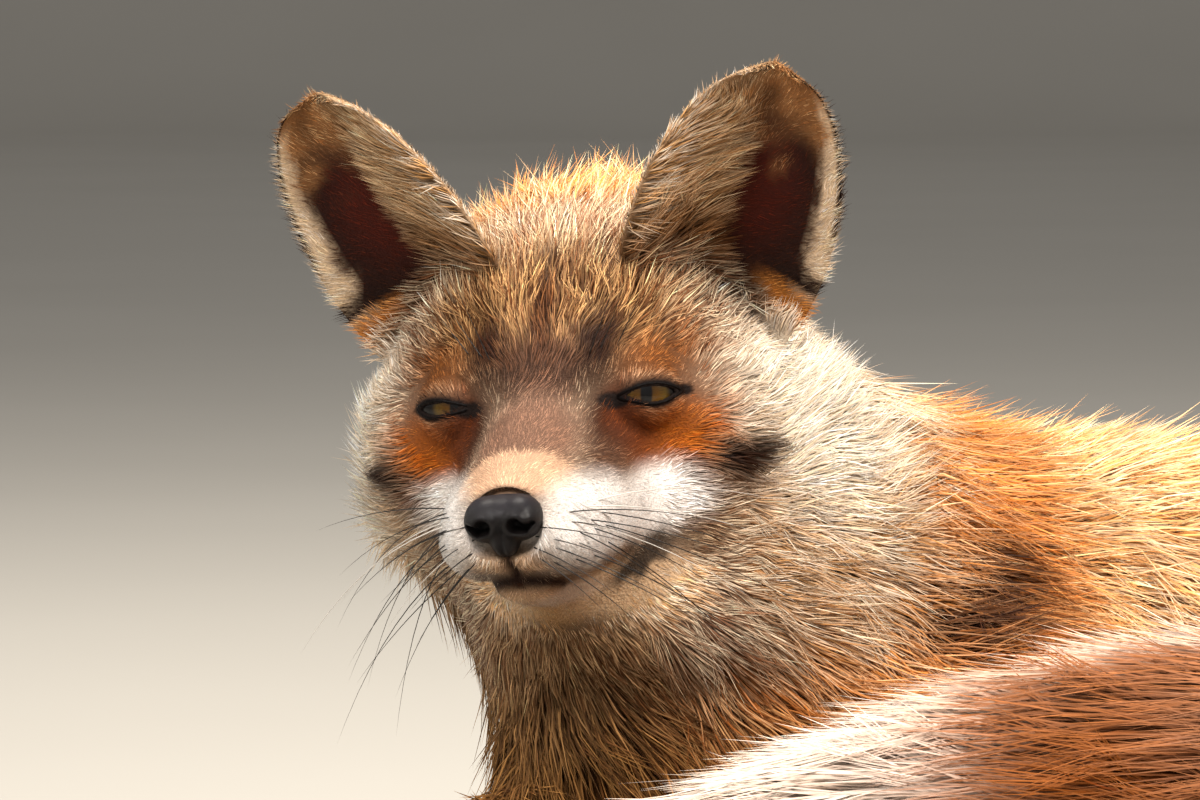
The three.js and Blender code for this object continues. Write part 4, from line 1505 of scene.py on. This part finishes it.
lid_skin = lid_finish()
for side, name in ((-1, "right"), (1, "left")):
    centre = middle("eye_" + name)
    finished("eyeball_" + name, eye_mesh(centre), eye_finish(centre), ["eye_" + name])
    finished("lids_" + name, lid_mesh(side), lid_skin)
finished("nose_pad", nose_mesh(), nose_finish(), ["nose"])
horn = claw_finish()
for name in LEGS:
    finished("claws_" + name, claw_mesh(name), horn)
fur_hair = hair_finish("fur", 0.6, 0.12)
whisker_hair = hair_finish("whisker", 0.35, 0.4)
finished("whiskers", whisker_mesh(np.random.default_rng(SEED)), whisker_hair)
grow_coat(fur_hair)

# ---------- Studio ----------
STAGE_HALF = 12.0
STAGE_BACK = 8.0  # where the floor turns up into the wall
STAGE_TURN = 1.4
scene = bpy.context.scene
bm = bmesh.new()
bmesh.ops.create_grid(bm, x_segments=8, y_segments=96, size=STAGE_HALF)
for vert in bm.verts:
    past = vert.co.y - STAGE_BACK
    if past > 0:
        angle = min(past / STAGE_TURN, math.pi / 2)
        vert.co.y = STAGE_BACK + STAGE_TURN * math.sin(angle)
        vert.co.z = STAGE_TURN * (1 - math.cos(angle)) + max(past - STAGE_TURN * math.pi / 2, 0)
floor = add_object("studio_floor", mesh_from(bm, "studio_floor"))
smooth(floor.data)
paper = Finish("studio_paper", roughness=0.9, specular_ior_level=0.1)
paper.feed(base_color=paper.mix(paper.noise(0.4), tint(0xA8A49D), tint(0xAEAAA3)))
floor.data.materials.append(paper.material)

world = bpy.data.worlds.new("studio")
scene.world = world
world.use_nodes = True
background = world.node_tree.nodes["Background"]
background.inputs["Color"].default_value = (1.0, 0.98, 0.95, 1)
background.inputs["Strength"].default_value = 0.42
scene.view_settings.view_transform = "Standard"


LIGHTS_AIM = Vector((0.0, 0.0, 0.13))


def soft_light(name, place, size, power, colour):
    light = bpy.data.lights.new(name, "AREA")
    light.shape = "DISK"
    light.size = size
    light.energy = power
    light.color = colour
    lamp = bpy.data.objects.new(name, light)
    scene.collection.objects.link(lamp)
    lamp.location = place
    lamp.rotation_mode = "QUATERNION"
    lamp.rotation_quaternion = (LIGHTS_AIM - Vector(place)).to_track_quat("-Z", "Y")


soft_light("key", (1.0, -0.7, 1.4), 0.6, 38, (1.0, 0.94, 0.86))
soft_light("front_fill", (-0.7, -1.25, 1.5), 1.2, 44, (1.0, 0.97, 0.94))
soft_light("crown", (-0.2, 0.6, 1.6), 0.8, 28, (1.0, 0.93, 0.82))

VIEW_DROP = math.radians(4)
VIEW_DISTANCE = 1.78
VIEW_ASIDE = 0.01324  # of the picture's middle from between the eyes
VIEW_LENS = 197.6
view_back = Vector((0, -math.cos(VIEW_DROP), math.sin(VIEW_DROP)))
camera_data = bpy.data.cameras.new("camera")
camera_data.lens = VIEW_LENS
camera_data.sensor_width = 36
camera = bpy.data.objects.new("camera", camera_data)
scene.collection.objects.link(camera)
camera.location = Vector(eye_middles / 1000) + view_back * VIEW_DISTANCE + Vector((VIEW_ASIDE, 0, 0))
camera.rotation_mode = "QUATERNION"
camera.rotation_quaternion = (-view_back).to_track_quat("-Z", "Y")
scene.camera = camera

bpy.context.view_layer.update()
